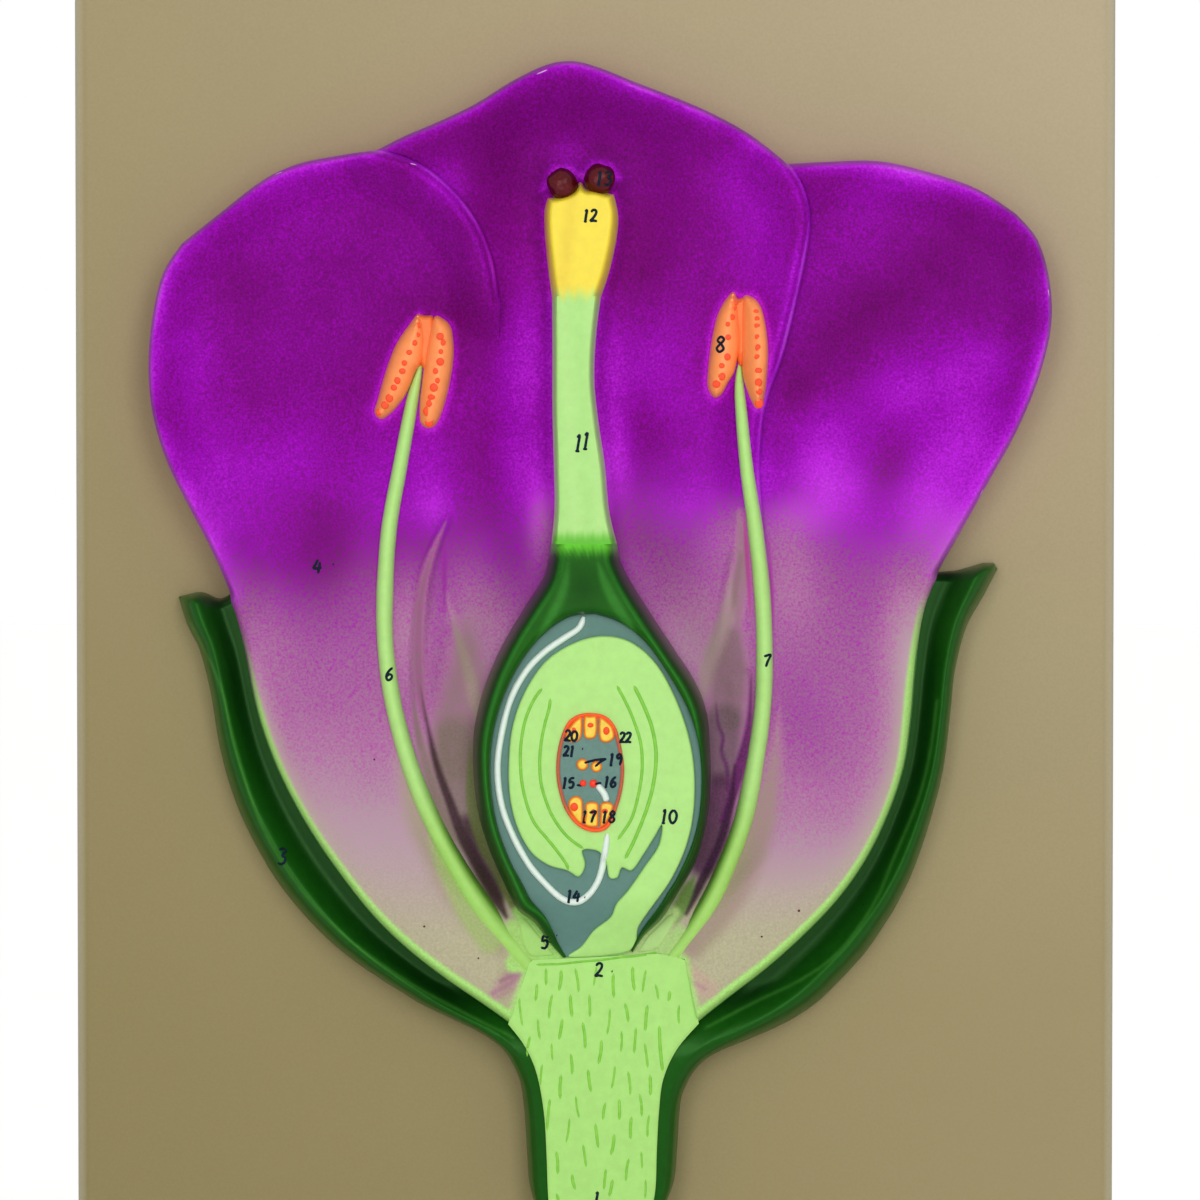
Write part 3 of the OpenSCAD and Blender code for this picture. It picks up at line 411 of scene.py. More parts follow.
# roughness, gloss, its tint, depth and size of the brush marks, swing of the colour
greenPaint = makePaint("greenPaint", 0.3, 0.28, (0.3, 0.8, 0.25), 0.03, 1.5, 0.12)
lightPaint = makePaint("lightGreenPaint", 0.42, 0.25, (0.9, 1, 0.8), 0.03, 2.0, 0.05)
chamberPaint = makePaint("chamberPaint", 0.45, 0.2, (1, 1, 1), 0.03, 1.2, 0.05)
antherPaint = makePaint("antherPaint", 0.35, 0.35, (1, 0.85, 0.7), 0.06, 1.6, 0.06)
cellPaint = makePaint("cellPaint", 0.4, 0.3, (1, 1, 0.9), 0.05, 0.9, 0.1)
tubePaint = makePaint("tubePaint", 0.4, 0.3, (1, 1, 1), 0.05, 1.0, 0.04)
stigmaPaint = makePaint("stigmaPaint", 0.35, 0.35, (1, 1, 0.8), 0.04, 2.0, 0.05)
pollenPaint = makePaint("pollenPaint", 0.34, 0.35, (1, 0.5, 0.5), 0.08, 1.4, 0.3)

# The flower's outlines, as in the part's source

leftBorder = [(-13, 36), (-13.5, 45), (-13.9, 56), (-14.6, 67), (-16.6, 78), (-20, 86), (-24.8, 92.4), (-33, 98.2),
    (-43, 105), (-54, 113.6), (-64, 123.4), (-73.6, 135.6), (-82, 148), (-89.4, 161.6), (-94.6, 174.4),
    (-97.8, 186), (-100, 198), (-102.2, 207), (-104.8, 215)]
leftOuter = [(-16, 36), (-18.4, 44), (-19.2, 54), (-20, 66), (-21.6, 76), (-25, 83.4), (-31, 88.8), (-41, 93.8),
    (-53, 99.4), (-66, 108.2), (-78, 119), (-88, 130.8), (-96, 143.8), (-102, 156.6), (-106.4, 171), (-109.4, 187),
    (-112.6, 198.6), (-116.4, 206.6), (-118.6, 214)]
rightBorder = [(15.5, 36), (17.2, 45), (17.6, 56), (18.2, 67), (19.4, 76.4), (23.2, 85), (29.6, 92.6), (38.4, 99.6),
    (48.6, 107.4), (59, 116.6), (69.2, 127.2), (77.6, 139), (84.2, 152.6), (88.6, 166), (90.6, 180), (91.6, 192),
    (93, 205), (95.2, 214), (98.4, 221)]
rightOuter = [(18.6, 36), (22.4, 45), (23.5, 56), (24.4, 68), (27.2, 76.6), (32.6, 82.6), (42, 87.4), (53.4, 93),
    (64.4, 100.4), (74, 110.4), (82.6, 124), (90.2, 138), (95.6, 152.4), (99.4, 166), (101.2, 180), (102.6, 193),
    (105.8, 205.4), (110.8, 214.6), (114.6, 222)]
leftTip = [(-113.6, 215.3), (-108.4, 213.4)]
rightTip = [(103, 221.4), (107, 222.5), (110.6, 223.6), (113.6, 223.6)]
leftFree = [(-104.8, 215), (-108.8, 227), (-115, 239), (-121.4, 252), (-125.6, 266), (-126.7, 280), (-125.4, 294),
    (-122.4, 306), (-117, 314.4)]
leftTop = [(-117, 314.4), (-106, 323.2), (-94, 332.4), (-84, 337), (-72, 339.4), (-62, 340.7)]
leftOver = [(-62, 340.7), (-54, 339.8), (-46, 335.4), (-38.4, 328.4), (-32.6, 320), (-29, 310.6), (-27.2, 300)]
leftSeam = [(-18.4, 110.8), (-22.6, 119), (-30, 134), (-38, 151), (-44.2, 168), (-48, 186), (-48.6, 204),
    (-46.4, 222), (-42, 240), (-36, 258), (-30.6, 276), (-27.6, 289), (-27.2, 300)]
middleTop = [(-62, 340.7), (-54, 344.8), (-44, 349), (-34, 353.8), (-24, 360), (-14, 364.8), (-6, 365.9),
    (2, 363.8), (12, 359.8), (24, 355.2), (34, 350.8), (44, 345.2), (54.4, 337)]
receptacleCorner = (18.8, 112.6)
rightSeam = [(25.6, 111), (33, 119.6), (39.6, 131), (44.6, 144), (48, 158), (50, 172), (51.2, 188), (51.2, 204),
    (50, 222), (48, 238), (47.2, 252), (48.6, 268), (53.4, 282), (57, 296), (60, 310), (61.6, 322), (59.4, 331.6),
    (54.4, 337)]
rightTop = [(54.4, 337), (66, 337.6), (80, 337.8), (94, 334.8), (108, 330), (119, 323)]
rightFree = [(98.4, 221), (104, 232.6), (112, 247), (120, 261.6), (126, 276.4), (129.4, 291), (128.8, 304),
    (125.4, 315.4), (119, 323)]
stemTop = 6  # where the borders leave the stem
seamGap = -0.02  # the skins meet, where the castings under them leave a seam


def spread(points, share=1.011):  # the low outer edges lie a little further out than they seem from in front
    p = np.array(points, float)
    return p + (share - 1) * ease((p[:, 1:2] - 82) / 22) * (p - (1.4, 213))


leftOuter, rightOuter, rightTip = spread(leftOuter), spread(rightOuter), spread(rightTip)
leftTop, middleTop, rightTop = spread(leftTop), spread(middleTop), spread(rightTop)
leftFree = np.vstack([leftFree[:1], spread(leftFree[1:])])
rightFree = np.vstack([rightFree[:1], spread(rightFree[1:])])
leftOver = np.vstack([leftTop[-1:], leftOver[1:]])
rightSeam = np.vstack([rightSeam[:-1], rightTop[:1]])

# Levels of the relief over the board's face, also as in the part's source
surface = {
    "petals": 21, "sideHollow": 8, "middleHollow": 6, "freeRise": 2.5, "cutRise": 1.2, "overRise": 6,
    "rimRound": 2.7, "rimFall": 13, "freeEdge": 3, "cutEdge": 13, "floor": 11, "floorMargin": 2.5, "floorSlope": 24,
    "foot": 19.4, "stem": 20, "sideHollows": [(-78, 258, 44, 92), (84, 254, 44, 92)],
    "centreHollow": (12, 300, 46, 60),
}
# Creases beside the filaments: points with half widths, distance over which each fades out, height
folds = [
    ([(-42.5, 236, 0), (-46, 228, 0.3), (-48.5, 220, 0.6), (-50, 208, 0.9), (-50.5, 195, 1), (-49, 178, 1),
     (-44.5, 162, 1.2), (-38.4, 149, 1.4), (-32, 136.5, 1.6), (-26.5, 126, 1.5)], 2.2, -1.3),
    ([(-42, 206, 0.2), (-38.5, 196, 0.3), (-35.2, 188, 0.3), (-33.6, 178, 0.3)], 2.6, 1.2),
    ([(-48, 170, 0.3), (-41.5, 154, 0.4), (-35, 141, 0.4), (-29, 130, 0.4)], 2.4, 0.9),
    ([(40, 226, 0.2), (36.5, 207, 0.3), (33, 196, 0.3), (31, 187, 0.3)], 2.6, 1.2),
    ([(43, 192, 0.2), (43.6, 178, 0.6), (42.3, 167, 1), (40, 156, 1.3), (36, 144, 1.4), (31.6, 133, 1.2)], 2.2,
     -1.4),
    ([(39, 190, 0.2), (39.5, 176, 0.3), (37.5, 162, 0.4), (33.5, 147, 0.4), (29, 136, 0.3)], 2.2, 1.1),
]
pistilMid = [(110, 0), (124, -0.2), (140, 0.3), (160, -0.7), (175, -1.2), (185, -1), (200, -1.8), (215, -2.5),
    (231, -3.2), (260, -5), (300, -5.1), (325, -4)]
pistilHalf = [(110, 20), (124, 23.4), (140, 29.6), (160, 33.8), (175, 34), (185, 32), (200, 24), (215, 15.2),
    (231, 9.6), (260, 7.4), (300, 7.4), (310, 9.2), (325, 10.8)]


def look(z, table):
    return np.interp(z, [t[0] for t in table], [t[1] for t in table])


def ground(q):  # level of the petals without their edges
    s = surface
    top = (s["petals"] - s["sideHollow"] * sum(blob(q, *place) for place in s["sideHollows"])
           - s["middleHollow"] * blob(q, *s["centreHollow"]))
    side = abs(q[:, 0] - look(q[:, 1], pistilMid)) - look(q[:, 1], pistilHalf)
    gap = np.where(q[:, 1] > 338, np.hypot(np.maximum(side, 0), q[:, 1] - 338), side)
    for path, soft, rise in folds:
        top += rise * near(q, smooth(path, 3), soft)
    low = mix(s["foot"], look(q[:, 1], [(130, s["floor"]), (150, 13), (215, 13), (250, s["floor"])]),
              ease((q[:, 1] - 118) / 22))
    return mix(low, top, ease((gap - s["floorMargin"]) / look(q[:, 1], [(114, 6), (150, s["floorSlope"])])))


def rim(d):
    r = surface["rimRound"]
    return np.where(d < r, quarter(d, r), 1 - ease((d - r) / surface["rimFall"]))


def petalLevel(q, free, cut, over, overShare):
    s = surface
    df = reach(q, free)
    dc = reach(q, cut) if cut is not None else np.full(len(q), 1e3)
    dn = reach(q, over) if over is not None else np.full(len(q), 1e3)
    rise = np.maximum.reduce([s["freeRise"] * rim(df), s["cutRise"] * rim(dc), s["overRise"] * overShare * rim(dn)])
    top = mix(s["cutEdge"], ground(q) + rise, quarter(dc, s["rimRound"]))
    return mix(s["freeEdge"], top, quarter(df, s["rimRound"]))


# Sizes of the stamens and the pistil, which the petals' paint also follows

anthers = {
    "orange": (255, 150, 88), "deep": (240, 122, 58), "sunk": 0.4, "rise": 6, "lobeRound": 4.2, "webRise": 3.2,
    "webRound": 1.5,
    "leftLobes": [
        [(-50, 295), (-53, 292), (-57, 286), (-60, 278), (-62, 271), (-63, 267), (-61, 265), (-58, 267),
         (-55, 270.5), (-53, 274), (-51, 279), (-49.5, 281), (-48.4, 288)],
        [(-46, 294), (-43, 293.5), (-41, 291), (-40.3, 286), (-40.5, 281), (-41.5, 275), (-43, 269), (-45, 264),
         (-47, 262.5), (-49, 263), (-50, 265), (-50, 270), (-49.3, 276), (-48, 286)],
    ],
    "rightLobes": [
        [(40, 300.7), (37.5, 299.5), (35, 295), (33.5, 289), (32.5, 282), (32, 276), (32.5, 273), (34, 271.2),
         (36, 272), (38, 275.5), (40, 279.5), (41.4, 289)],
        [(42, 299.2), (44.5, 300), (47, 297.5), (48.5, 292), (49.2, 285), (49, 279), (48.5, 273), (47.5, 269),
         (46, 268), (44.5, 270), (43, 274), (42, 278), (41.5, 288)],
    ],
    "leftWeb": [(-51, 294.3), (-48.5, 294.6), (-46, 294), (-45.6, 288), (-47, 281.5), (-48.4, 279), (-50.2, 281.5),
        (-51.4, 287)],
    "rightWeb": [(39.2, 300), (41, 299.4), (43, 299.4), (43.4, 292), (42.8, 284.5), (41.7, 280), (40.4, 282),
        (39.2, 289)],
    "leftDots": [(-50.3, 291.6), (-50.5, 289), (-51.3, 286.7), (-52.8, 284), (-54.2, 281), (-54.8, 278.7),
        (-56.2, 276), (-57.2, 274), (-58.5, 271), (-59.8, 269), (-61.5, 267), (-44, 288.5), (-43.3, 286.8),
        (-43.8, 284.2), (-44, 281.3), (-45.3, 278.7), (-44.8, 276), (-45.8, 274), (-46.5, 271.3), (-47, 269.5),
        (-47.8, 267.3), (-47.2, 264)],
    "rightDots": [(39.7, 298), (39.5, 296.5), (38.8, 294), (37.7, 292), (37.8, 288.3), (37.5, 282.7), (36, 280.2),
        (36, 277.2), (34.5, 275), (45.7, 295.5), (46, 293.5), (46, 291.5), (46, 288.3), (46.2, 285.2), (46, 282.6),
        (46.3, 278.8), (46.3, 275.4), (46.5, 272.8), (46.5, 269.5)],
}

pistil = {
    "styleLeft": [(-12.5, 229.6), (-11.6, 240), (-11.8, 252), (-12.2, 268), (-12.2, 284), (-12.3, 299.8)],
    "styleRight": [(6.2, 229.6), (4, 239), (2.8, 252), (1, 264), (-0.2, 276), (0.2, 288), (1.6, 299.8)],
    "stigmaLeft": [(-12.3, 299.8), (-13.4, 308), (-14.3, 317), (-14.5, 324), (-13.6, 328)],
    "stigmaTop": [(-13.6, 328), (-10, 328.6), (-6.4, 330), (-4.3, 332.6), (-2.4, 330.6), (0, 330.4), (5.4, 329)],
    "stigmaRight": [(1.6, 299.8), (4, 307), (6, 316), (6.6, 323), (5.4, 329)], "green": (178, 226, 136),
    "yellow": (243, 219, 60), "edge": (236, 160, 60), "grains": [(-9.3, 331.7, 4.35), (1.3, 333, 4.35)],
    "red": (74, 4, 14), "grainLevel": 23.5, "streaks": (150, 214, 112), "foot": (96, 188, 50),
    "sides": (214, 244, 176), "mustard": (222, 184, 50),
}

# Petals

petals = {
    "cells": (190, 300), "bare": (186, 168, 166), "foot": (182, 180, 142), "cutBand": (172, 228, 122),
    "cutWidth": [(60, 3.4), (105, 3), (150, 2), (185, 1.2), (205, 0.2)], "band": (176, 170, 138), "tint": 0.3,
    # share of purple spray at heights, left and right
    "leftCoat": [(118, 0.02), (140, 0.12), (152, 0.22), (162, 0.38), (172, 0.56), (182, 0.68), (200, 0.77),
        (216, 0.9), (226, 0.965), (232, 0.99), (240, 1.02), (250, 1.1), (262, 1.2)],
    "rightCoat": [(118, 0), (130, 0.08), (140, 0.24), (152, 0.48), (165, 0.64), (180, 0.7), (200, 0.74),
        (215, 0.79), (230, 0.88), (244, 0.96), (252, 1.02), (264, 1.15)],
    # thicker and thinner spray: x, z, two radii, amount and any turn
    "sprays": [(-84, 228, 24, 18, 0.07), (-95, 204, 8, 18, -0.1, 15), (78, 208, 10, 22, 0.04),
        (56, 220, 8, 16, -0.18), (90, 208, 8, 16, -0.26, -10), (80, 236, 15, 11, 0.07), (30, 242, 13, 10, 0.06),
        (54, 233, 6, 7, -0.06), (-15, 234, 4, 10, -0.2), (60, 178, 10, 20, 0.1, 20), (68, 152, 8, 10, 0.04, 30),
        (40, 232, 8, 12, -0.17), (-66, 220, 9, 14, -0.05), (-54, 206, 6, 15, -0.24), (28, 200, 12, 14, -0.3),
        (-32, 206, 9, 18, -0.26, 20), (46, 250, 9, 10, 0.14), (112, 250, 14, 12, 0.14), (-64, 164, 7, 10, 0.08)],
    # brighter and deeper places, partly the spray's own tone and partly painted highlights and painted shade: x, z,
    # two radii, amount and any turn
    "toneAndLightPatches": [(-38, 298, 12, 22, -0.22), (-112, 236, 15, 22, 0.34), (-92, 252, 16, 14, 0.22),
        (-42, 333, 8, 8, 0.28), (-60, 246, 10, 22, 0.22), (-77, 230, 8, 14, -0.1), (-86, 324, 26, 12, 0.06),
        (-90, 334, 12, 6, 0.14), (-116, 284, 11, 22, 0.22), (-102, 304, 12, 9, -0.1, 30), (-64, 290, 12, 16, -0.1),
        (-14, 340, 34, 20, -0.18), (-8, 341, 6, 6, 0.3), (14, 314, 10, 18, -0.16), (38, 334, 12, 10, 0.14, -30),
        (47, 312, 10, 24, 0.22), (-20, 282, 8, 22, 0.46), (5, 272, 5, 20, 0.34), (18, 282, 10, 14, 0.28),
        (28, 268, 9, 12, 0.1), (-20, 246, 8, 16, 0.4), (6, 252, 5, 12, 0.45), (-34, 262, 7, 16, -0.08),
        (-46, 250, 9, 16, 0.28), (30, 244, 26, 13, 0.26), (48, 250, 6, 12, 0.25), (58, 236, 9, 7, 0.4),
        (22, 240, 10, 8, 0.2), (-46, 240, 6, 7, 0.3), (-15, 240, 4, 10, 0.4), (98, 231, 9, 9, 0.35),
        (94, 335, 18, 6, 0.4), (76, 321, 10, 9, 0.08), (108, 312, 22, 10, -0.14), (82, 298, 16, 8, -0.22, 25),
        (68, 284, 12, 9, -0.16, 35), (57, 272, 6, 8, -0.24), (90, 273, 20, 9, 0.36, 20),
        (112, 282, 12, 12, 0.2, 20), (67, 248, 12, 18, 0.62, 20), (54, 256, 7, 7, -0.2), (97, 244, 14, 18, 0.55),
        (108, 258, 10, 14, 0.34), (84, 250, 6, 12, -0.3, -25), (118, 292, 10, 8, -0.1)],
    # brushed places, the darkest of them painted shade in the creases and hollows beside the pistil: points with half
    # widths, softness, colour, share of it, share of purple over it
    "strokes": [
        ([(-37, 207, -2), (-36.5, 197, 1.5), (-37, 187, 3.5), (-39.5, 176, 4.5), (-40, 168, 3.5)], 6,
         (148, 126, 118), 0.8, 0.08),
        # darker towards the bottom beside the pistil: the paint's colour, and painted shade in the hollow there
        ([(-40, 174, 2.5), (-39.5, 163, 4), (-37, 153, 3.5), (-35, 146, 2)], 6, (118, 116, 86), 0.7, 0.06),
        ([(-37, 150, 0), (-33.5, 141, 1.2), (-30.5, 135, 1.4), (-28, 129, 0.4)], 3.4, (62, 56, 42), 0.85, 0.03),
        ([(-42.5, 217, -1.8), (-39.5, 204, -0.4), (-36.5, 194, 0.3), (-34.6, 185, 0.6), (-33.6, 178, -1)], 2.4,
         (166, 154, 130), 0.75, 0.05),
        # painted shade along the left crease
        ([(-42.5, 236, -1.6), (-46, 228, -0.6), (-48.6, 220, 0), (-50.2, 210, 0.2), (-50.6, 198, 0.4),
         (-50, 187, 0.3), (-48.6, 179, -0.6)], 2.2, (128, 92, 98), 0.75, 0.1),
        ([(-50, 189, -1.2), (-47.6, 176, -0.3), (-45, 165, 0.1), (-41.4, 155, 0.4), (-38.6, 147, 0.7),
         (-35, 140, 0.8), (-31.6, 134, 0.9), (-28, 127.6, 0.7), (-25.4, 123, -0.4)], 1.7, (52, 46, 32), 0.85, 0.03),
        ([(-52.6, 191, -1.4), (-50.6, 176, 0.2), (-48, 165, 0.6), (-44.3, 154, 0.4), (-40, 145, -0.4)], 1.8,
         (138, 128, 104), 0.75, 0.1),
        ([(-58, 186, -5), (-54.8, 166, -1), (-50.5, 152, 1.4), (-46, 143, 2), (-40.5, 133, 2.4), (-34, 124, 2),
         (-28, 116, 1)], 5, (168, 162, 128), 0.75, 0.12),
        ([(-35.8, 174, -1), (-35.6, 160, 0.6), (-34.2, 151, 1.1), (-31.4, 142, 1), (-27.8, 135, 0.6),
         (-24.6, 128.6, 0.5), (-22.8, 125, 0)], 1.6, (104, 122, 54), 0.8, 0),
        ([(-42.6, 231, -0.2), (-43, 221, 0.2), (-43, 210, -0.3)], 0.9, (112, 44, 130), 0.55, 0.8),
        ([(38.8, 224, -2), (38.4, 213, 0.6), (36.4, 204, 1.4), (33.4, 196, 1.4), (31.4, 189, 0.6), (30.6, 183, -1)],
         2.8, (160, 146, 130), 0.8, 0.06),
        ([(41, 239, -1), (41.8, 228, 0.6), (41.2, 218, 1.2), (40.8, 207, -0.2)], 2.2, (146, 122, 118), 0.8, 0.1),
        ([(42.4, 238, -0.2), (43.2, 228, 0.2), (43.9, 218, 0.2), (44.2, 209, -0.2)], 0.9, (176, 44, 124), 0.6, 0.2),
        # darker towards the bottom on the right of the pistil: the paint's colour, and painted shade in the hollow
        # there
        ([(40, 204, 0), (38.6, 192, 2.8), (37.4, 181, 3.2)], 4, (130, 108, 106), 0.85, 0.05),
        ([(37, 178, 3.4), (36, 165, 3)], 4, (104, 92, 86), 0.85, 0.05),
        ([(36, 160, 1.6), (34, 149, 2.6), (31, 138, 1.8)], 4, (66, 52, 52), 0.85, 0.05),
        # painted shade along the right crease
        ([(44.6, 191, -0.6), (44.2, 180, 0), (43, 172, 0.5), (41, 164, 0.9), (39.2, 157, 0.5), (36.6, 150, 0.1)],
         1.5, (74, 34, 72), 0.85, 0.1),
        ([(34.6, 184, -0.4), (35.2, 178, 0), (36.6, 174, 0.1), (36.2, 170, 0.1), (37.8, 165, 0.2), (37.8, 159, 0)],
         0.9, (72, 46, 70), 0.7, 0.1),
        ([(40, 166, -0.6), (39.2, 157, 0.1), (37.9, 151, 0.4), (36.2, 145, 0.5), (34.1, 140, 0.5), (32.2, 136, 0.5),
         (30.1, 132, 0.5), (28, 128, 0.3), (26, 124, -0.2)], 1.4, (42, 34, 34), 0.85, 0.03),
        ([(28.4, 134, -0.6), (26.4, 130, 0.8), (24, 125, 1), (21.6, 121.4, 0.6)], 1.8, (98, 140, 56), 0.85, 0),
        ([(46, 147, -2), (42, 138, 0.6), (37.6, 130, 1.4), (33.6, 123, 1.8), (29.6, 117, 1.8)], 3.2,
         (164, 190, 116), 0.75, 0),
        ([(-48, 146, -2), (-44, 139, 0.4), (-40, 131, 1), (-35.6, 123.4, 1.6), (-30, 116.4, 2)], 3, (162, 190, 108),
         0.75, 0),
        ([(53, 190, -5), (51.6, 170, -1.4), (48.8, 155, 0.8), (45, 143, 2), (40, 133, 2.4), (34.6, 124, 2),
         (28, 115, 1)], 5, (164, 152, 124), 0.8, 0.15),
        ([(49.6, 231, -0.2), (50.4, 218, 0.1), (50.9, 205, -0.2)], 0.9, (150, 56, 160), 0.6, 0.5),
        ([(-28, 101.5, 0.6), (-24.5, 104.4, 1.8), (-21.6, 107.4, 0.8)], 2.6, (176, 142, 140), 0.75, 0),
        ([(-27, 104.8, 0), (-21.5, 107.4, 0.3), (-18.6, 110, 0)], 0.9, (150, 84, 130), 0.4, 0.1),
        ([(-29.4, 101.4, 0), (-24, 104.4, 0.2), (-20.6, 107, 0)], 0.9, (160, 98, 138), 0.35, 0.1),
        ([(21.6, 109.6, 1), (27, 105, 2.4), (32.6, 102.6, 0.8)], 3, (194, 166, 146), 0.75, 0),
        ([(23, 108.4, 0), (27.6, 104.6, 0.2), (31.4, 102.8, 0)], 0.9, (172, 120, 144), 0.4, 0),
        ([(21.6, 123, 0.4), (22, 120, 0.3)], 1, (200, 140, 150), 0.5, 0),
        ([(-24.8, 92.4, 0.2), (-18.4, 110.8, 0.2)], 2, (172, 226, 122), 0.8, 0),
        ([(29.6, 92.6, 0.2), (25.6, 111, 0.2)], 2, (172, 226, 122), 0.8, 0),
        ([(-23, 109.6, 1.5), (0, 111, 2.5), (23, 110.4, 1.5)], 2, (172, 224, 122), 1, 0),
        ([(-11, 112.6, 2), (-16, 118.6, 2.4), (-21.6, 124.4, 1)], 2, (164, 218, 112), 1, 0),
        ([(-20, 112, 3), (-23.4, 120, 1)], 2.4, (166, 212, 112), 1, 0),
        ([(12, 112.6, 2), (16.6, 118.6, 2.4), (22.4, 124, 1)], 2, (180, 210, 132), 1, 0),
        ([(20, 112, 3), (24, 119, 0.6)], 2.4, (170, 206, 124), 1, 0),
    ],
    # brighter lines beside raised pieces: points, amount
    "halos": [(smooth(anthers[side + "Lobes"][k]), 0.55) for side in ("left", "right") for k in (0, 1)] + [
        (pistil["styleLeft"][1:], 0.35), (pistil["styleRight"][1:], 0.35), (pistil["stigmaLeft"], 0.4),
        (pistil["stigmaRight"], 0.4), ([(-14.8, 331), (-11.5, 336.4), (-7, 336.6), (-4, 334)], 0.6),
        ([(-3, 335), (0, 338), (4, 337.6), (6.6, 334)], 0.6)],
    "rimLine": 0.55, "cutEdgeShade": (84, 136, 76),
}


def petalLayers(verts, cut, free, over=None, overEnd=282):
    q = verts[:, :2]
    x, z = q.T
    base = undercoat(q, petals["bare"])
    lay(base, petals["foot"], fall(z - 112, 34))
    coat = mix(look(z, petals["leftCoat"]), look(z, petals["rightCoat"]), ease((x + 20) / 40))
    for px, pz, rx, rz, amount, *turn in petals["sprays"]:
        coat += amount * blob(q, px, pz, rx, rz, *turn)
    coat = 1 - (1 - coat + np.hypot(1 - coat, 0.05)) / 2  # comes up to full cover softly
    coat = np.clip(coat, 0, 1)
    dc = reach(q, cut) if cut is not None else np.full(len(q), 99.0)
    coat *= 1 - bell(dc, np.where(x < 0, 4, 7)) * ease((np.where(x < 0, 204, 220) - z) / 26)
    lay(base, petals["band"], 0.7 * bell(dc, 6) * ease((200 - z) / 30))
    width = look(z, petals["cutWidth"]) + np.where(x > 0, 1.2, 0.3) * ease((z - 150) / 40)
    lay(base, petals["cutBand"], fall(dc - width, 1.3) * ease((np.where(x > 0, 219, 210) - z) / 12))
    # painted shade: a darker green line where the cut edge rounds down
    lay(base, petals["cutEdgeShade"], fall(dc - 0.2, 0.7) * ease((206 - z) / 12) * 0.85)
    tint = np.full(len(q), petals["tint"])
    # tone of the spray, with painted highlights and painted shade
    for px, pz, rx, rz, amount, *turn in petals["toneAndLightPatches"]:
        tint += amount * blob(q, px, pz, rx, rz, *turn)
    for path, soft, colour, share, cover in petals["strokes"]:
        w = near(q, smooth(path, 4), soft) * share
        lay(base, colour, w)
        coat += (cover - coat) * w
    # brighter lines beside the raised pieces
    for path, amount in petals["halos"]:
        tint += amount * bell(reach(q, path), 1.3)
    lively = 0.9 + 0.3 * np.sin(0.11 * x + 0.07 * z) + 0.2 * np.sin(0.31 * z - 0.23 * x)
    d = reach(q, free)
    # painted highlights along the free rims, where the rounded edges catch the light
    tint += petals["rimLine"] * lively * (0.45 * bell(d - 3, 2) + bell(d - 2, 0.7))
    # painted light on the steep free edges, which would otherwise fall into shade
    tint += 0.8 * bell(d, 0.8)
    # painted highlight along the rim that lies over the next petal
    if over is not None:
        d = reach(q, over)
        shown = ease((z - overEnd) / 25)
        tint += petals["rimLine"] * lively * shown * (1.6 * bell(d - 0.8, 0.6) + 0.4 * bell(d - 3, 0.8))
    return {"base": base, "coat": np.clip(coat, 0, 1), "tint": np.clip(tint, 0, 1.4)}


def addPetal(side, edges, cells, levelOf, *lines):
    rows = sheet(*edges, *cells)
    mesh = gridPiece(side + "PetalSkin", rows, levelOf(rows.reshape(-1, 2)), 0, lambda v: petalLayers(v, *lines))
    addPiece(mesh, petalPaint, replaces=[side + "_petal"])


cells = tight(petals["cells"][0]), tight(petals["cells"][1])
leftCut = aside(smooth(leftBorder[stemTop:], 4), seamGap)
free, top = smooth(leftFree, 4), smooth(leftTop, 4)
over = aside(smooth(leftOver, 4), seamGap)
leftRim = np.vstack([free, top[1:]])
addPetal("left", (np.vstack([leftCut, free[1:]]), aside(smooth(leftSeam, 4), -seamGap),
                  aside(np.array([leftCut[0], leftSeam[0]]), -seamGap), np.vstack([top, over[1:]])), cells,
         lambda q: petalLevel(q, leftRim, leftCut, over, ease((q[:, 1] - 272) / 28)), leftCut, leftRim, over)

middleRim = aside(smooth(rightSeam, 4), -seamGap)
middleFree = smooth(middleTop, 4)


def middleLevel(q):
    return petalLevel(q, middleFree, None, middleRim, ease((q[:, 1] - 208) / 54))


addPetal("middle", (aside(np.vstack([smooth(leftSeam, 4), smooth(leftOver, 4)[::-1][1:]]), seamGap), middleRim,
                    aside(np.array([leftSeam[0], receptacleCorner, rightSeam[0]]), -seamGap), middleFree),
         (0.4 * even(220) + 0.6 * np.sin(np.pi / 2 * even(220)), tight(330)), middleLevel,
         None, middleFree, smooth(rightSeam[6:], 4), 206)

rightCut = aside(smooth(rightBorder[stemTop:], 4), -seamGap)
free, top = smooth(rightFree, 4), smooth(rightTop, 4)
rightRim = np.vstack([top, free[::-1][1:]])
addPetal("right", (aside(smooth(rightSeam, 4), seamGap), np.vstack([rightCut, free[1:]]),
                   aside(np.array([rightSeam[0], rightCut[0]]), -seamGap), top), cells,
         lambda q: petalLevel(q, rightRim, rightCut, None, 0), rightCut, rightRim)
print("botanical flower: petals")

# Sepals and stem

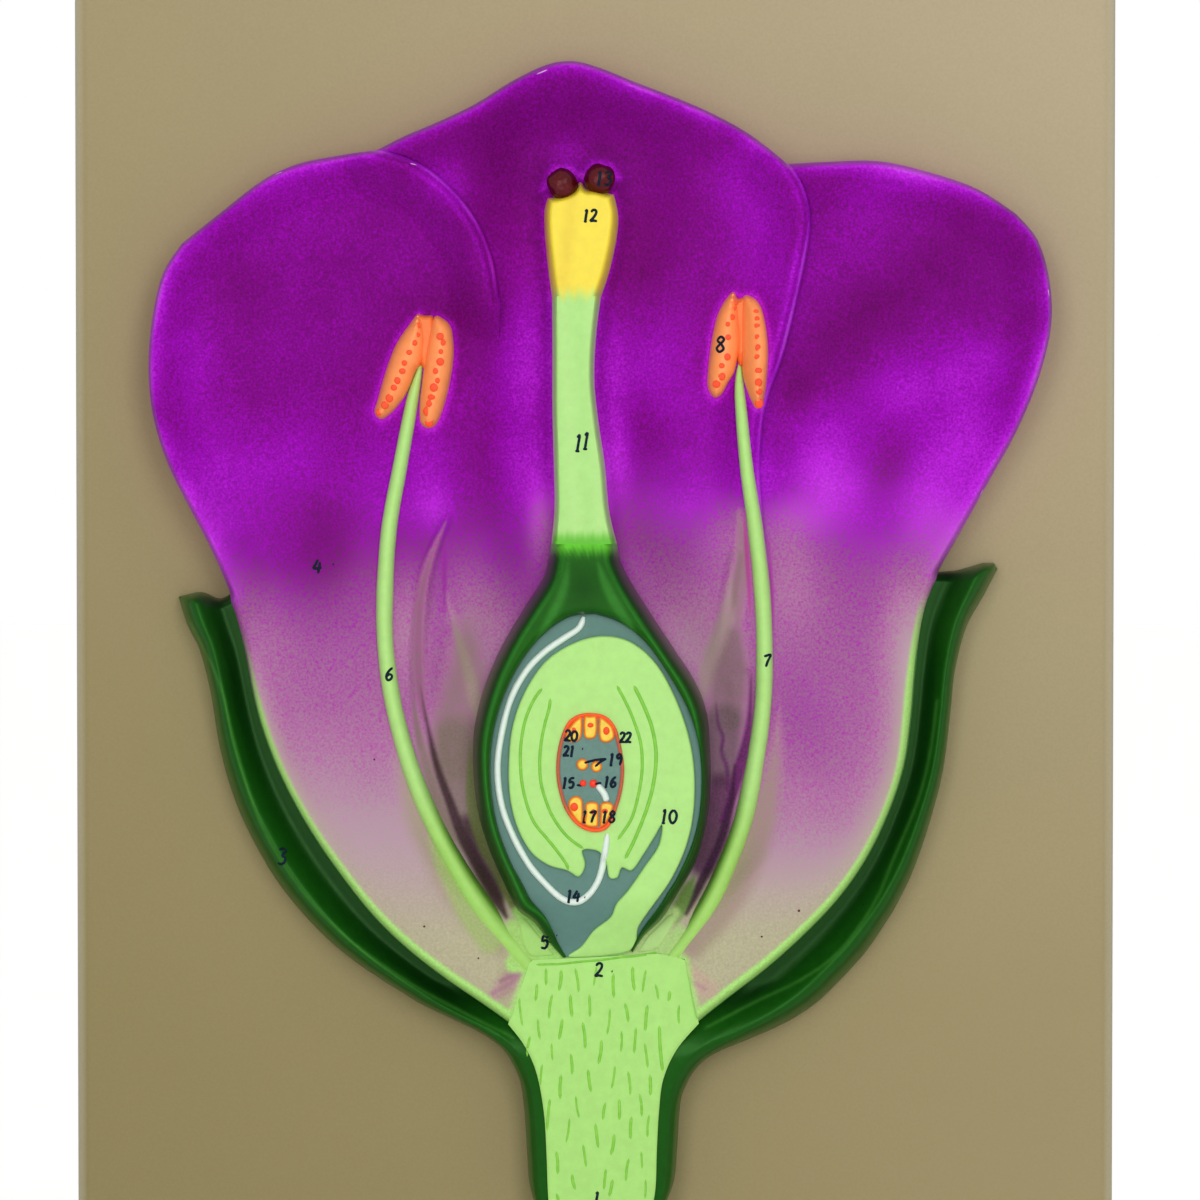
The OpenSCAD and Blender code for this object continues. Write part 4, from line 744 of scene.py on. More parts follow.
sepals = {
    "crest": 16, "channel": 9, "edge": 3, "rind": 18.5, "endRound": 3, "green": (20, 76, 14), "deep": (6, 40, 6),
    "paintedHighlight": (70, 132, 52),
    # painted highlights: thin bright lines along the crests, where the gloss paint would catch the light
    "leftHighlightLine": [(-115.7, 206.5), (-112.1, 199.4), (-107.1, 188.8), (-102.5, 170.3), (-95.4, 148.9), (-84, 130.4),
        (-70.4, 116.2), (-52.6, 103.4), (-38.4, 95.6), (-23.6, 88.3)],
    "rightHighlightLine": [(97.8, 184.6), (96, 170.3), (92.5, 156.1), (86.1, 140.5), (79.7, 126.2), (69.8, 112.7),
        (58.4, 104.1), (45.5, 97.7), (32, 91)],
    # how far the outer edges spread, by height
    "leftSpread": [(74, -0.5), (80, -1.2), (89, -1.3), (94, -0.8), (99, 0.2), (104, 0.1), (109, -0.3), (114, -0.7),
        (125, -0.9), (135, -1.1), (150, -1), (165, -0.7), (178, -0.4), (200, 0)],
    "rightSpread": [(70, 0.3), (75, 0.8), (81, 1.3), (88, 1.8), (94, 1.7), (98, 1.2), (103, 0.7), (108, 0.9),
        (113, 1.4), (120, 1.8), (125, 2), (133, 1.6), (140, 1.1), (150, 0.7), (158, 0.4), (168, 0)],
    "light": (12, 86, 4), "cells": (40, 260),
}


def sepalLevel(u, z, endGap):
    s = sepals
    sepal = (mix(s["edge"], s["crest"], np.interp(u, [0, 0.07, 0.18, 0.34], [0, 0.5, 0.84, 1]))
             - (s["crest"] - s["channel"]) * np.interp(u, [0.34, 0.48, 0.64, 0.8], [0, 0.4, 0.86, 1]))
    rind = mix(s["edge"], s["rind"], np.interp(u, [0, 0.08, 0.25, 0.55, 1], [0, 0.5, 0.8, 0.95, 1]))
    return mix(s["edge"], mix(rind, sepal, ease((z - 82) / 22)), quarter(endGap, s["endRound"]))


def soften(values):  # rounds the corners of a profile across a strip
    for _ in range(6):
        values[:, 1:-1] = 0.25 * values[:, :-2] + 0.5 * values[:, 1:-1] + 0.25 * values[:, 2:]
    return values


def widened(path, table):  # moved to its right by distances that a table gives by height
    return aside(path, look(path[:, 1], table)[:, None])


def greenLayers(verts, inner, outer):
    q = verts[:, :2]
    paint = undercoat(q, sepals["green"])
    # the outer edge painted a brighter green, standing in for the light on the outward slope
    lay(paint, sepals["light"], fall(reach(q, outer), 4))
    # painted shade in the channel beside the petal's cut edge
    lay(paint, sepals["deep"], bell(reach(q, inner) - 3, 3.2) * ease((q[:, 1] - 92) / 10))
    # painted highlights along the crests
    for key in ("leftHighlightLine", "rightHighlightLine"):
        lay(paint, sepals["paintedHighlight"], 0.55 * bell(reach(q, smooth(sepals[key], 4)), 0.5))
    return {"paint": paint}


def addSepal(side, outer, inner, head):
    sides = (outer, inner) if side == "left" else (inner, outer)
    across = even(sepals["cells"][0])
    rows = sheet(*sides, np.array([line[0] for line in sides]), head, across, tight(sepals["cells"][1]))
    q = rows.reshape(-1, 2)
    u = np.tile(across if side == "left" else 1 - across, len(rows))
    level = soften(sepalLevel(u, q[:, 1], reach(q, head)).reshape(rows.shape[:2]))
    mesh = gridPiece(side + "SepalSkin", rows, level, 0, lambda v: greenLayers(v, inner, outer))
    addPiece(mesh, greenPaint, replaces=[side + "_sepal"])


outer, inner = widened(smooth(leftOuter), sepals["leftSpread"]), aside(smooth(leftBorder), -seamGap)
addSepal("left", outer, inner, smooth([outer[-1], *leftTip, inner[-1]], 4))
outer, inner = widened(smooth(rightOuter), sepals["rightSpread"]), aside(smooth(rightBorder), seamGap)
addSepal("right", outer, inner, np.vstack([inner[-1:], rightTip, outer[-1:]]))

stem = {"cut": (172, 226, 122), "fillet": 1.4, "drop": 0.55}
left, right = smooth(leftBorder[:stemTop + 1]), smooth(rightBorder[:stemTop + 1])
head = np.array([left[-1], leftSeam[0], receptacleCorner, rightSeam[0], right[-1]])
rows = sheet(aside(left, seamGap), aside(right, -seamGap), np.array([left[0], right[0]]), aside(head, seamGap),
             tight(60), tight(90))
q = rows.reshape(-1, 2)
level = surface["stem"] - stem["drop"] * (1 - quarter(np.minimum(reach(q, left), reach(q, right)), stem["fillet"]))
addPiece(gridPiece("stemFace", rows, level, 0, plain(stem["cut"])), lightPaint, replaces=["stem_core"])
print("botanical flower: sepals and stem")

# Node trees: strands along paths, and drops on points

def newTree(name, inputs):
    tree = bpy.data.node_groups.new(name, "GeometryNodeTree")
    tree.interface.new_socket("Geometry", in_out="INPUT", socket_type="NodeSocketGeometry")
    for key, kind, value in inputs:
        socket = tree.interface.new_socket(key, in_out="INPUT", socket_type=kind)
        if value is not None:
            socket.default_value = value
    tree.interface.new_socket("Geometry", in_out="OUTPUT", socket_type="NodeSocketGeometry")
    return tree, put(tree, "NodeGroupInput").outputs


def endTree(tree, geometryOut, material):
    solid = put(tree, "GeometryNodeRealizeInstances", {"Geometry": geometryOut})
    named = put(tree, "GeometryNodeSetMaterial", {"Geometry": solid.outputs[0], "Material": material})
    put(tree, "NodeGroupOutput", {0: named.outputs[0]})


def makeStrandTree():  # half-round strand along paths, as wide as their halfWidth says
    tree, given = newTree("strandAlongPath", [("Height Ratio", "NodeSocketFloat", 1.0),
                                              ("Round Steps", "NodeSocketInt", 12),
                                              ("Material", "NodeSocketMaterial", None)])
    width = put(tree, "GeometryNodeInputNamedAttribute", {"Name": "halfWidth"}, data_type="FLOAT").outputs[0]
    line = put(tree, "GeometryNodeMeshToCurve", {"Mesh": given["Geometry"]}).outputs[0]
    line = put(tree, "GeometryNodeSetCurveNormal", {"Curve": line}, mode="Z_UP").outputs[0]
    ring = put(tree, "GeometryNodeCurvePrimitiveCircle", {"Resolution": given["Round Steps"], "Radius": 1.0})
    flat = put(tree, "ShaderNodeCombineXYZ", {"X": 1.0, "Y": given["Height Ratio"], "Z": 1.0})
    oval = put(tree, "GeometryNodeTransform", {"Geometry": ring.outputs[0], "Scale": flat.outputs[0]})
    body = put(tree, "GeometryNodeCurveToMesh", {"Curve": line, "Profile Curve": oval.outputs[0], "Scale": width,
                                                 "Fill Caps": True})
    endTree(tree, put(tree, "GeometryNodeSetShadeSmooth", {"Geometry": body.outputs[0]}).outputs[0],
            given["Material"])
    return tree


def makeDropTree():  # flattened drops on points, as large as their halfWidth says
    tree, given = newTree("dropsOnPoints", [("Flatness", "NodeSocketFloat", 0.4),
                                            ("Material", "NodeSocketMaterial", None),
                                            ("Seed", "NodeSocketInt", 3)])
    width = put(tree, "GeometryNodeInputNamedAttribute", {"Name": "halfWidth"}, data_type="FLOAT").outputs[0]
    uneven = put(tree, "FunctionNodeRandomValue", {"Min": (0.8, 0.8, 0.9), "Max": (1.2, 1.2, 1.1),
                                                   "Seed": given["Seed"]}, data_type="FLOAT_VECTOR").outputs[0]
    flat = put(tree, "ShaderNodeCombineXYZ", {"X": 1.0, "Y": 1.0, "Z": given["Flatness"]}).outputs[0]
    scale = put(tree, "ShaderNodeVectorMath", {0: flat, "Scale": width}, operation="SCALE").outputs[0]
    scale = put(tree, "ShaderNodeVectorMath", {0: scale, 1: uneven}, operation="MULTIPLY").outputs[0]
    ball = put(tree, "GeometryNodeMeshIcoSphere", {"Radius": 1.0, "Subdivisions": 3}).outputs[0]
    ball = put(tree, "GeometryNodeSetShadeSmooth", {"Geometry": ball}).outputs[0]
    drops = put(tree, "GeometryNodeInstanceOnPoints", {"Points": given["Geometry"], "Instance": ball, "Scale": scale})
    endTree(tree, drops.outputs[0], given["Material"])
    return tree


strandTree, dropTree = makeStrandTree(), makeDropTree()


def grow(name, paths, tree, values, material, slot, replaces=(), colour=None):
    verts = np.vstack(paths)
    mesh = bpy.data.meshes.new(name + "Path")
    starts = np.cumsum([0] + [len(p) for p in paths])
    lines = [(a + k, a + k + 1) for a, p in zip(starts, paths) for k in range(len(p) - 1)]
    mesh.from_pydata(verts[:, :3].tolist(), lines if tree is strandTree else [], [])
    addLayer(mesh, "halfWidth", verts[:, 3])
    source = addObject(name + "Path", mesh)
    modifier = source.modifiers.new("grow", "NODES")
    modifier.node_group = tree
    values = dict(values, Material=material)
    for item in tree.interface.items_tree:
        if item.in_out == "INPUT" and item.name in values:
            modifier[item.identifier] = values[item.name]
    bpy.context.view_layer.update()
    shape = bpy.data.meshes.new_from_object(source.evaluated_get(bpy.context.evaluated_depsgraph_get()))
    bpy.data.objects.remove(source)
    shape.name = name
    shape.transform(toWorld)
    if colour is not None:
        addLayer(shape, "paint", colour(plan(shape)))
    addPiece(shape, material, replaces=replaces)


def addStrands(name, paths, ratio, steps, material, slot, **more):
    grow(name, paths, strandTree, {"Height Ratio": ratio, "Round Steps": steps}, material, slot, **more)


def addDrops(name, spots, flatness, seed, material, slot):  # spots: x, z, half width
    p = np.array(spots)
    grow(name, [np.column_stack([p[:, :2], settle(p), p[:, 2]])], dropTree, {"Flatness": flatness, "Seed": seed},
         material, slot)


def plan(mesh):  # a mesh's points in plan millimetres
    p = np.empty(len(mesh.vertices) * 3)
    mesh.vertices.foreach_get("co", p)
    p = p.reshape(-1, 3) * 1000
    return np.column_stack([p[:, 0], p[:, 2], -p[:, 1] - boardHalf])


ridden = []


def settle(q, lift=0.0):  # level of the relief made so far under each point
    for item in bpy.data.objects:
        if item.type == "MESH" and item.name in relief and item.name not in [r[0] for r in ridden]:
            p = np.empty(len(item.data.vertices) * 3)
            item.data.vertices.foreach_get("co", p)
            ridden.append((item.name, BVHTree.FromPolygons(p.reshape(-1, 3).tolist(),
                                                           [tuple(f.vertices) for f in item.data.polygons])))
    levels = []
    for x, z in np.asarray(q)[:, :2]:
        hits = [tree.ray_cast(Vector((x / 1000, -0.08, z / 1000)), Vector((0, 1, 0)), 0.075)[0] for _, tree in ridden]
        levels.append(max([-h.y * 1000 - boardHalf for h in hits if h is not None] + [0]) + lift)
    return np.array(levels)


# Stamens

filaments = {
    "ratio": 1.4, "green": (177, 226, 130), "foot": (164, 216, 106), "shade": (84, 132, 38),
    "left": [(-49.4, 282, 0.3), (-50.6, 277, 1.2), (-52.2, 270, 1.8), (-55.6, 252, 2.1), (-58.8, 234, 2.3),
        (-60, 216, 2.4), (-59.8, 200, 2.4), (-57.2, 182, 2.4), (-51.8, 163, 2.6), (-45, 147, 2.8),
        (-37, 132.4, 3.3), (-29, 120.6, 4), (-23, 113.6, 4.2), (-18, 108, 3.4), (-15, 104.6, 2)],
    "right": [(41.4, 282, 0.3), (41.1, 277, 1.1), (41.4, 270, 1.6), (43, 252, 1.9), (45.6, 234, 2.2),
        (47.6, 216, 2.3), (48.3, 200, 2.4), (48, 184, 2.4), (46, 168, 2.6), (42.4, 150, 2.8), (36, 133, 3),
        (29, 120.4, 3.2), (23.4, 113, 3.2), (18.6, 107.6, 2.6), (16.4, 105, 1.6)],
}


def stalkLayers(q, line, way):  # greener at the foot, and darkest on the side towards the pistil
    paint = undercoat(q, filaments["green"])
    low = ease((166 - q[:, 1]) / 30)
    lay(paint, filaments["foot"], low)
    edge = aside(line[:, :2], way * 0.9 * line[:, 2:])
    lay(paint, filaments["shade"], low * bell(reach(q, edge), 0.9) * 0.9)
    return paint


for side, way, bedOf in (("left", -1, ground), ("right", 1, middleLevel)):
    line = along(smooth(filaments[side]), even(140))
    line[:, 2] *= 1 + 0.05 * np.array([noise.noise(Vector((k * 0.11, 3, 7))) for k in range(len(line))])
    high = np.minimum(3.2, filaments["ratio"] * line[:, 2])
    crest = mix(surface["stem"] + 0.03, bedOf(line) + high, ease((line[:, 1] - 111) / 30))
    path = np.column_stack([line[:, :2], crest - filaments["ratio"] * line[:, 2], line[:, 2]])
    addStrands(side + "Stalk", [path], filaments["ratio"], 20, lightPaint, "cut_green",
               replaces=[side + "_filament"], colour=lambda v: stalkLayers(v, line, way))

for side, bedOf in (("left", ground), ("right", middleLevel)):
    lobes = [padPiece(side + "Lobe", smoothLoop(edge), lambda v: bedOf(v) - anthers["sunk"],
                      lambda q, d: bedOf(q) + 0.3 + anthers["rise"] * quarter(d, anthers["lobeRound"]) ** 0.8,
                      plain(anthers["orange"]), 2.6, 0.7) for edge in anthers[side + "Lobes"]]
    lobes.append(padPiece(side + "Web", smoothLoop(anthers[side + "Web"]), lambda v: bedOf(v) - anthers["sunk"],
                          lambda q, d: bedOf(q) + anthers["webRise"] * quarter(d, anthers["webRound"]),
                          plain(anthers["deep"]), 1, 0.7))
    addPiece(joinMeshes(side + "AntherBody", lobes), antherPaint, replaces=[side + "_anther"])
print("botanical flower: stamens")

# Pistil

ovary = {
    "level": 30, "round": 4.2, "chamber": 26, "styleLevel": 27,
    "left": [(-9.6, 111.4), (-13.6, 116), (-17.6, 121.4), (-22.6, 125.4), (-26.4, 133), (-30.4, 142), (-33.4, 152),
        (-34.8, 163), (-34.9, 174), (-33, 184), (-29.6, 194), (-24.6, 204), (-19, 213), (-14.4, 220.6),
        (-12.5, 229.6)],
    "right": [(10.9, 112.6), (14.2, 117.6), (19.4, 122.6), (24, 130), (28.4, 137.6), (31.4, 147), (33, 158),
        (33, 170), (32, 181), (28.6, 190), (22.2, 200), (16, 209.4), (10, 219), (7.2, 225), (6.2, 229.6)],
    "chamberLeft": [(-8.2, 111.8), (-10.4, 115.6), (-12.2, 119.8), (-14.4, 124), (-18.2, 128.6), (-20.7, 133.4),
        (-24.2, 140), (-27.8, 150), (-29.5, 161), (-29.4, 172), (-27, 183), (-22.2, 194), (-15.6, 203),
        (-7.6, 208.8), (0, 209.8)],
    "chamberRight": [(10.2, 113.8), (13.4, 120), (17.7, 126), (20.4, 130.4), (23.8, 136), (28, 146), (30, 157),
        (29.8, 170), (27, 181), (21.8, 191), (14.6, 201.4), (7.4, 207.2), (0, 209.8)],
    "ovuleEdge": [(-7.2, 111.7), (-3.8, 115), (-0.4, 119.6), (4.4, 123.6), (6, 127.4), (9.4, 131.4), (14, 138),
        (18, 144), (19, 150), (16.8, 146.4), (13.4, 141), (10.4, 137), (7.6, 137.8), (6.4, 135), (4, 135),
        (3.2, 139), (1.4, 142), (-0.8, 142.9), (-3.6, 142.6), (-2.8, 138.6), (-4.6, 135.2), (-8, 137), (-13, 138.4),
        (-18, 142), (-22, 149), (-24.2, 158), (-24.5, 168), (-23.4, 178), (-20, 187.6), (-14, 196.4), (-6, 201.6),
        (2, 203.6), (10, 202), (17, 196.2), (22.4, 187), (26.4, 176), (28.2, 165), (27.9, 153), (25.6, 143),
        (21.4, 134), (15.8, 126), (12.4, 120.6), (9.8, 113.5)],
    "sacEdge": [(-1.4, 181.8), (2.8, 181), (5.6, 178.2), (7, 174), (8.2, 167), (7.8, 160.6), (6.2, 154.6),
        (3.8, 149.4), (0, 148), (-4.6, 149.6), (-8.4, 154.2), (-10.4, 160.4), (-11, 166.4), (-10.2, 173),
        (-8, 178.8), (-5, 181.2)],
    "green": (18, 76, 8), "side": (58, 62, 44), "paintedHighlight": (44, 124, 44), "deep": (12, 52, 6), "neckHighlight": (52, 122, 44),
    "neckShade": (6, 52, 4),
    "neckHighlightLines": [[(-7.6, 224.6, -0.8), (-8.4, 219, 0.2), (-10.4, 213, 0.4), (-13.8, 207, 0.1), (-17.6, 201, -1.2)],
        [(0.8, 224.6, -0.8), (2.4, 219.6, 0.2), (5.4, 213.4, 0.5), (9.4, 207, 0.2), (13.2, 200.6, -1.2)]],
    "grey": (92, 130, 121), "body": (176, 228, 130), "ovule": 27.6, "sac": 28.8, "cells": 28.95, "cellBase": 28.7,
    "base": 11.15, "shoulder": 13, "join": (100, 196, 50),
}


def lowered(level, z):  # comes down to the stem's cut face at the ovary's foot
    return mix(surface["stem"] + 0.3, level, ease((z - 108) / 22))


legs = [smooth(ovary["left"], 4), smooth(ovary["right"], 4)]
rims = [aside(smooth(ovary["chamberLeft"]), -0.02), aside(smooth(ovary["chamberRight"]), 0.02)]
steps = 110  # along each leg
turn = 0.955  # share of the rims beside the legs, where the rest goes round the top
outer = np.vstack([along(legs[0], even(steps)), mix(legs[0][-1], legs[1][-1], even(30)[1:-1, None]),
                   along(legs[1], even(steps))[::-1]])
inner = np.vstack([along(rims[0], even(steps) * turn), along(rims[0], mix(turn, 1, even(15)[1:])),
                   along(rims[1], mix(turn, 1, even(15)[1:-1]))[::-1], along(rims[1], even(steps) * turn)[::-1]])
rows = mix(outer[:, None], inner[:, None], even(22)[None, :, None])
q = rows.reshape(-1, 2)
rimLine = np.vstack([rims[0], rims[1][::-1]])
legGap = np.minimum(reach(q, legs[0]), reach(q, legs[1]))
crest = lowered(mix(ovary["level"], ovary["styleLevel"], ease((q[:, 1] - 210) / 19)), q[:, 1])
level = mix(ovary["shoulder"], crest, quarter(legGap, mix(0.8, ovary["round"], ease((q[:, 1] - 112) / 24))))
level = level - 2.2 * (1 - quarter(reach(q, rimLine), 1.8)) * ease((q[:, 1] - 111) / 20)


def wallLayers(v):
    q = v[:, :2]
    paint = undercoat(q, ovary["green"])
    d = np.minimum(reach(q, legs[0]), reach(q, legs[1]))
    lay(paint, ovary["side"], fall(d - 1.1, 1) * ease((q[:, 1] - 135) / 30) * 0.8)
    lay(paint, ovary["deep"], bell(d - 2.4, 0.8) * 0.7)
    # painted highlight: a thin bright line along the wall's shoulder
    lay(paint, ovary["paintedHighlight"], bell(d - 3.7, 0.5) * 0.6)
    # painted shade in the middle of the neck, with painted highlights on its shoulders below
    lay(paint, ovary["neckShade"], 0.85 * blob(q, -3.4, 217, 5, 6))
    for line in ovary["neckHighlightLines"]:
        lay(paint, ovary["neckHighlight"], 0.75 * near(q, smooth(line, 4), 1.8))
    brushed = 0.3 * np.sin(2.3 * q[:, 0]) + 0.3 * np.sin(5.7 * q[:, 0] + 1)
    lay(paint, ovary["join"], ease((q[:, 1] - 225 + brushed) / 4.6))
    return {"paint": paint}


addPiece(gridPiece("ovaryWallSkin", rows, level, ovary["base"], wallLayers), greenPaint,
         replaces=["ovary_wall"])
loop = np.vstack([smooth(ovary["chamberLeft"]), smooth(ovary["chamberRight"])[::-1][1:]])
mesh = padPiece("ovaryChamberFace", loop, ovary["base"], lambda q, d: lowered(ovary["chamber"], q[:, 1]),
                plain(ovary["grey"]), 1, 2)
addPiece(mesh, chamberPaint, replaces=["ovary_chamber"])
loop = smoothLoop(ovary["ovuleEdge"], 6)
mesh = padPiece("ovuleBody", loop, lambda v: lowered(ovary["chamber"] + 0.1, v[:, 1]) - 0.1,
                lambda q, d: (lowered(ovary["ovule"], q[:, 1]) - 0.6 + quarter(d, 0.7)
                              - 0.25 * blob(q, -1.7, 188, 1.5, 1.2)), plain(ovary["body"]), 0.7, 1.5)
addPiece(mesh, lightPaint, replaces=["ovule"])

sac = {
    "rim": (190, 84, 56), "hot": (255, 88, 30), "yellow": (244, 208, 70), "orange": (240, 128, 36),
    "red": (255, 60, 36),
}
antipodals = [
    [(-8.4, 174.6), (-6.6, 173.4), (-4, 174.8), (-3.7, 180.4), (-5.6, 179.8), (-7.8, 177)],
    [(-3.1, 175.4), (-1.4, 174.4), (0.4, 175.6), (0.5, 180.6), (-1.4, 181), (-3.1, 180.6)],
    [(1.2, 174.8), (3.2, 173.4), (5.4, 174.8), (5, 177.8), (2.6, 180.2), (1.2, 180.4)],
]
eggCells = [
    [(-5.2, 151.2), (-3.6, 150.6), (-3.4, 154.6), (-3.7, 157.4), (-5.6, 158.3), (-7.4, 157), (-7.3, 154.4)],
    [(-2.9, 150), (0.6, 149.6), (1, 153), (0.9, 156), (-0.8, 156.7), (-2.7, 156), (-2.8, 153)],
    [(1.4, 149.6), (3, 150.4), (4.5, 153), (5.2, 155.6), (3.6, 156.6), (1.6, 156), (1.5, 153)],
]
sacLoop = smoothLoop(ovary["sacEdge"])
sacLine = np.vstack([sacLoop, sacLoop[:1]])


def sacLayers(v):
    q = v[:, :2]
    paint = undercoat(q, ovary["grey"])
    d = reach(q, sacLine)
    lay(paint, sac["rim"], fall(d - 0.8, 0.25))
    lay(paint, sac["hot"], fall(d - 1.1, 0.3) * ease((abs(q[:, 1] - 165) - 9) / 5))
    return {"paint": paint}


mesh = padPiece("sacPlate", sacLoop, 28.05, lambda q, d: ovary["sac"] + 0.45 * fall(d - 0.7, 0.5) * quarter(d, 0.35),
                sacLayers, 1.2, 0.5)
addPiece(mesh, cellPaint, replaces=["embryo_sac"])


def cellLayers(loop):
    def layers(v):
        paint = undercoat(v, sac["yellow"])
        lay(paint, sac["orange"], fall(reach(v, np.vstack([loop, loop[:1]])) - 0.35, 0.4))
        return {"paint": paint}
    return layers


def addCells(name, loops, rise, edge, rounding, spacing, node, tint=None):
    pads = [padPiece(name, loop, ovary["cellBase"], lambda q, d: ovary["cells"] + rise * quarter(d, edge),
                     plain(tint) if tint else cellLayers(loop), rounding, spacing) for loop in loops]
    addPiece(joinMeshes(name, pads), cellPaint, replaces=[node])


def disc(x, z, r, n=20):
    a = np.arange(n) * 2 * np.pi / n
    return np.stack([x + r * np.cos(a), z + r * np.sin(a)], 1)


for name, cells, node in [("topCells", antipodals, "antipodal_cells"), ("bottomCells", eggCells, "egg_apparatus")]:
    addCells(name, [smoothLoop(c) for c in cells], 0.7, 1.0, 1.0, 0.4, node)
addCells("polarPair", [disc(-3.6, 167.2, 1.7), disc(0.4, 166.6, 1.6)], 0.75, 1.3, 0.9, 0.35,
         "polar_nuclei")
addCells("gametePair", [disc(-3.4, 161.9, 0.95), disc(-0.5, 161.8, 1.15)], 0.75, 1.3, 0.9, 0.35,
         "male_gametes", sac["red"])

tube = {
    "colour": (226, 240, 230), "halfWidth": 0.96,
    "chamber": [(-3.2, 209), (-4.6, 205.8), (-9, 202.8), (-14.4, 199), (-19.4, 193.8), (-23.6, 186.4),
        (-26.2, 177.4), (-27.7, 167), (-26.8, 156.6), (-23.8, 147.8), (-19.2, 139.2), (-14.6, 133.6), (-9.6, 129),
        (-5.4, 127.9), (-2, 129.8), (0.6, 133.4), (2, 137.4), (2.6, 141), (3.1, 144), (3.5, 147.6)],
    "sac": [(3.4, 156.8), (2.4, 159.2), (0.6, 161.4)],
}

paths = []
for key, low, count in (("chamber", 26.1, 120), ("sac", 28.9, 20)):
    line = along(smooth(tube[key]), even(count))
    wavy = np.array([noise.noise(Vector((k * 0.13, 9, low))) for k in range(len(line))])
    width = tube["halfWidth"] * (1 + 0.12 * wavy)
    level = np.full(len(line), low)
    if key == "chamber":  # it climbs onto the ovule
        level += 2 * ease((line[:, 1] - 139.5) / 2.5) * (line[:, 0] > 0)
    width *= 0.4 + 0.6 * quarter(np.minimum(np.arange(len(line)), np.arange(len(line))[::-1]) / 3, 1)
    paths.append(np.column_stack([line, level, width]))
addStrands("pollenTubeStrand", paths, 1.1, 14, tubePaint, "tube_white", replaces=["pollen_tube"],
           colour=lambda v: undercoat(v, tube["colour"]))


def pistilLayers(v):
    q = v[:, :2]
    x, z = q.T
    paint = undercoat(q, pistil["green"])
    streak = 0.5 * np.sin(1.9 * x) + 0.4 * np.sin(4.3 * x + 1)
    gap = np.minimum(reach(q, pistil["styleLeft"]), reach(q, pistil["styleRight"]))
    # a darker green in streaks across the column, most of it within a few millimetres of the style's sides
    lay(paint, pistil["streaks"], 0.3 * fall(gap, 2.4) + 0.12 * (1 + np.sin(0.8 * x + 0.04 * z)))
    lay(paint, pistil["foot"], fall(z - 230.2 + 0.5 * streak, 3.8))
    # painted light: the style's edges lightened where its rounded sides would fall into shade
    lay(paint, pistil["sides"], 0.7 * fall(gap, 0.9))
    yellow = ease((z - 297.5 + streak) / 6)
    lay(paint, pistil["yellow"], yellow)
    lay(paint, pistil["edge"], 0.8 * yellow * near(q, pistil["stigmaLeft"][1:], 1.3) * ease((z - 305) / 8))
    lay(paint, pistil["mustard"], 0.35 * yellow * bell(x + 9 - 0.08 * (z - 300), 2))
    return {"paint": paint}


def addColumn(name, sides, head, lines, roundness, material, node):
    rows = sheet(*sides, np.array([sides[0][0], sides[1][0]]), head, tight(40), tight(70))
    q = rows.reshape(-1, 2)
    level = mix(ovary["shoulder"], ovary["styleLevel"],
                quarter(np.minimum.reduce([reach(q, line) for line in lines]), roundness))
    addPiece(gridPiece(name, rows, level, ovary["base"], pistilLayers), material, replaces=[node])


sides = [smooth(pistil[key], 6) for key in ("styleLeft", "styleRight")]
addColumn("styleShaft", sides, np.array([line[-1] for line in sides]), sides, 1.7, lightPaint, "style")
*sides, top = [smooth(pistil[key], 6) for key in ("stigmaLeft", "stigmaRight", "stigmaTop")]
addColumn("stigmaHead", sides, top, [*sides, top], 2.4, stigmaPaint, "stigma")

grains = []
for x, z, r in pistil["grains"]:
    ball = bmesh.new()
    bmesh.ops.create_icosphere(ball, subdivisions=5, radius=1)
    for v in ball.verts:
        bump = noise.noise(v.co * 1.3 + Vector((x, z, 0))) * 0.12 + noise.noise(v.co * 4 + Vector((z, x, 1))) * 0.03
        v.co = Vector((x, z, pistil["grainLevel"])) + v.co * r * (1 + bump)
    mesh = bpy.data.meshes.new("grain")
    ball.to_mesh(mesh)
    p = np.array([v.co for v in mesh.vertices])
    grains.append(finishMesh("grain", p, [tuple(f.vertices) for f in mesh.polygons], plain(pistil["red"])(p)))
addPiece(joinMeshes("pollenBalls", grains), pollenPaint, replaces=["pollen_grains"])

nectaries = {
    "left": [(-18.6, 111.6), (-11.4, 112), (-15.2, 116.8), (-19.6, 122.2), (-21.2, 123.4), (-21.6, 120.6),
        (-20.6, 115.6)],
    "right": [(11.9, 112.8), (17.8, 113.6), (20.4, 117.6), (22.6, 121.4), (22.4, 124.4), (20, 122.6), (15, 117.6)],
    "leftGreen": (166, 216, 114), "rightGreen": (176, 214, 130),
}

for side in ("left", "right"):
    mesh = padPiece(side + "NectaryPad", np.array(nectaries[side], float), ovary["base"],
                    lambda q, d: ground(q) - 0.1 + 0.45 * quarter(d, 1), plain(nectaries[side + "Green"]), 1, 0.8)
    addPiece(mesh, lightPaint, replaces=[side + "_nectary"])
print("botanical flower: pistil")

# Painted marks: they lie on the relief and stand a little proud of it

marks = {
    "proud": 0.04, "flatness": 0.16, "ink": (10, 24, 40), "line": (112, 190, 48), "dash": (120, 198, 52),
    "red": (255, 72, 30),
}
inkPaint = makeInk("numberInk", marks["ink"], (22, 38, 54), 0.5, 0.06)
linePaint = makeInk("brushLineGreen", marks["line"], (134, 206, 66), 0.4, 0.25)
dashPaint = makeInk("brushDashGreen", marks["dash"], (144, 212, 74), 0.4, 0.25)
dotPaint = makeInk("dotRed", marks["red"], (244, 84, 34), 0.35, 0.2)


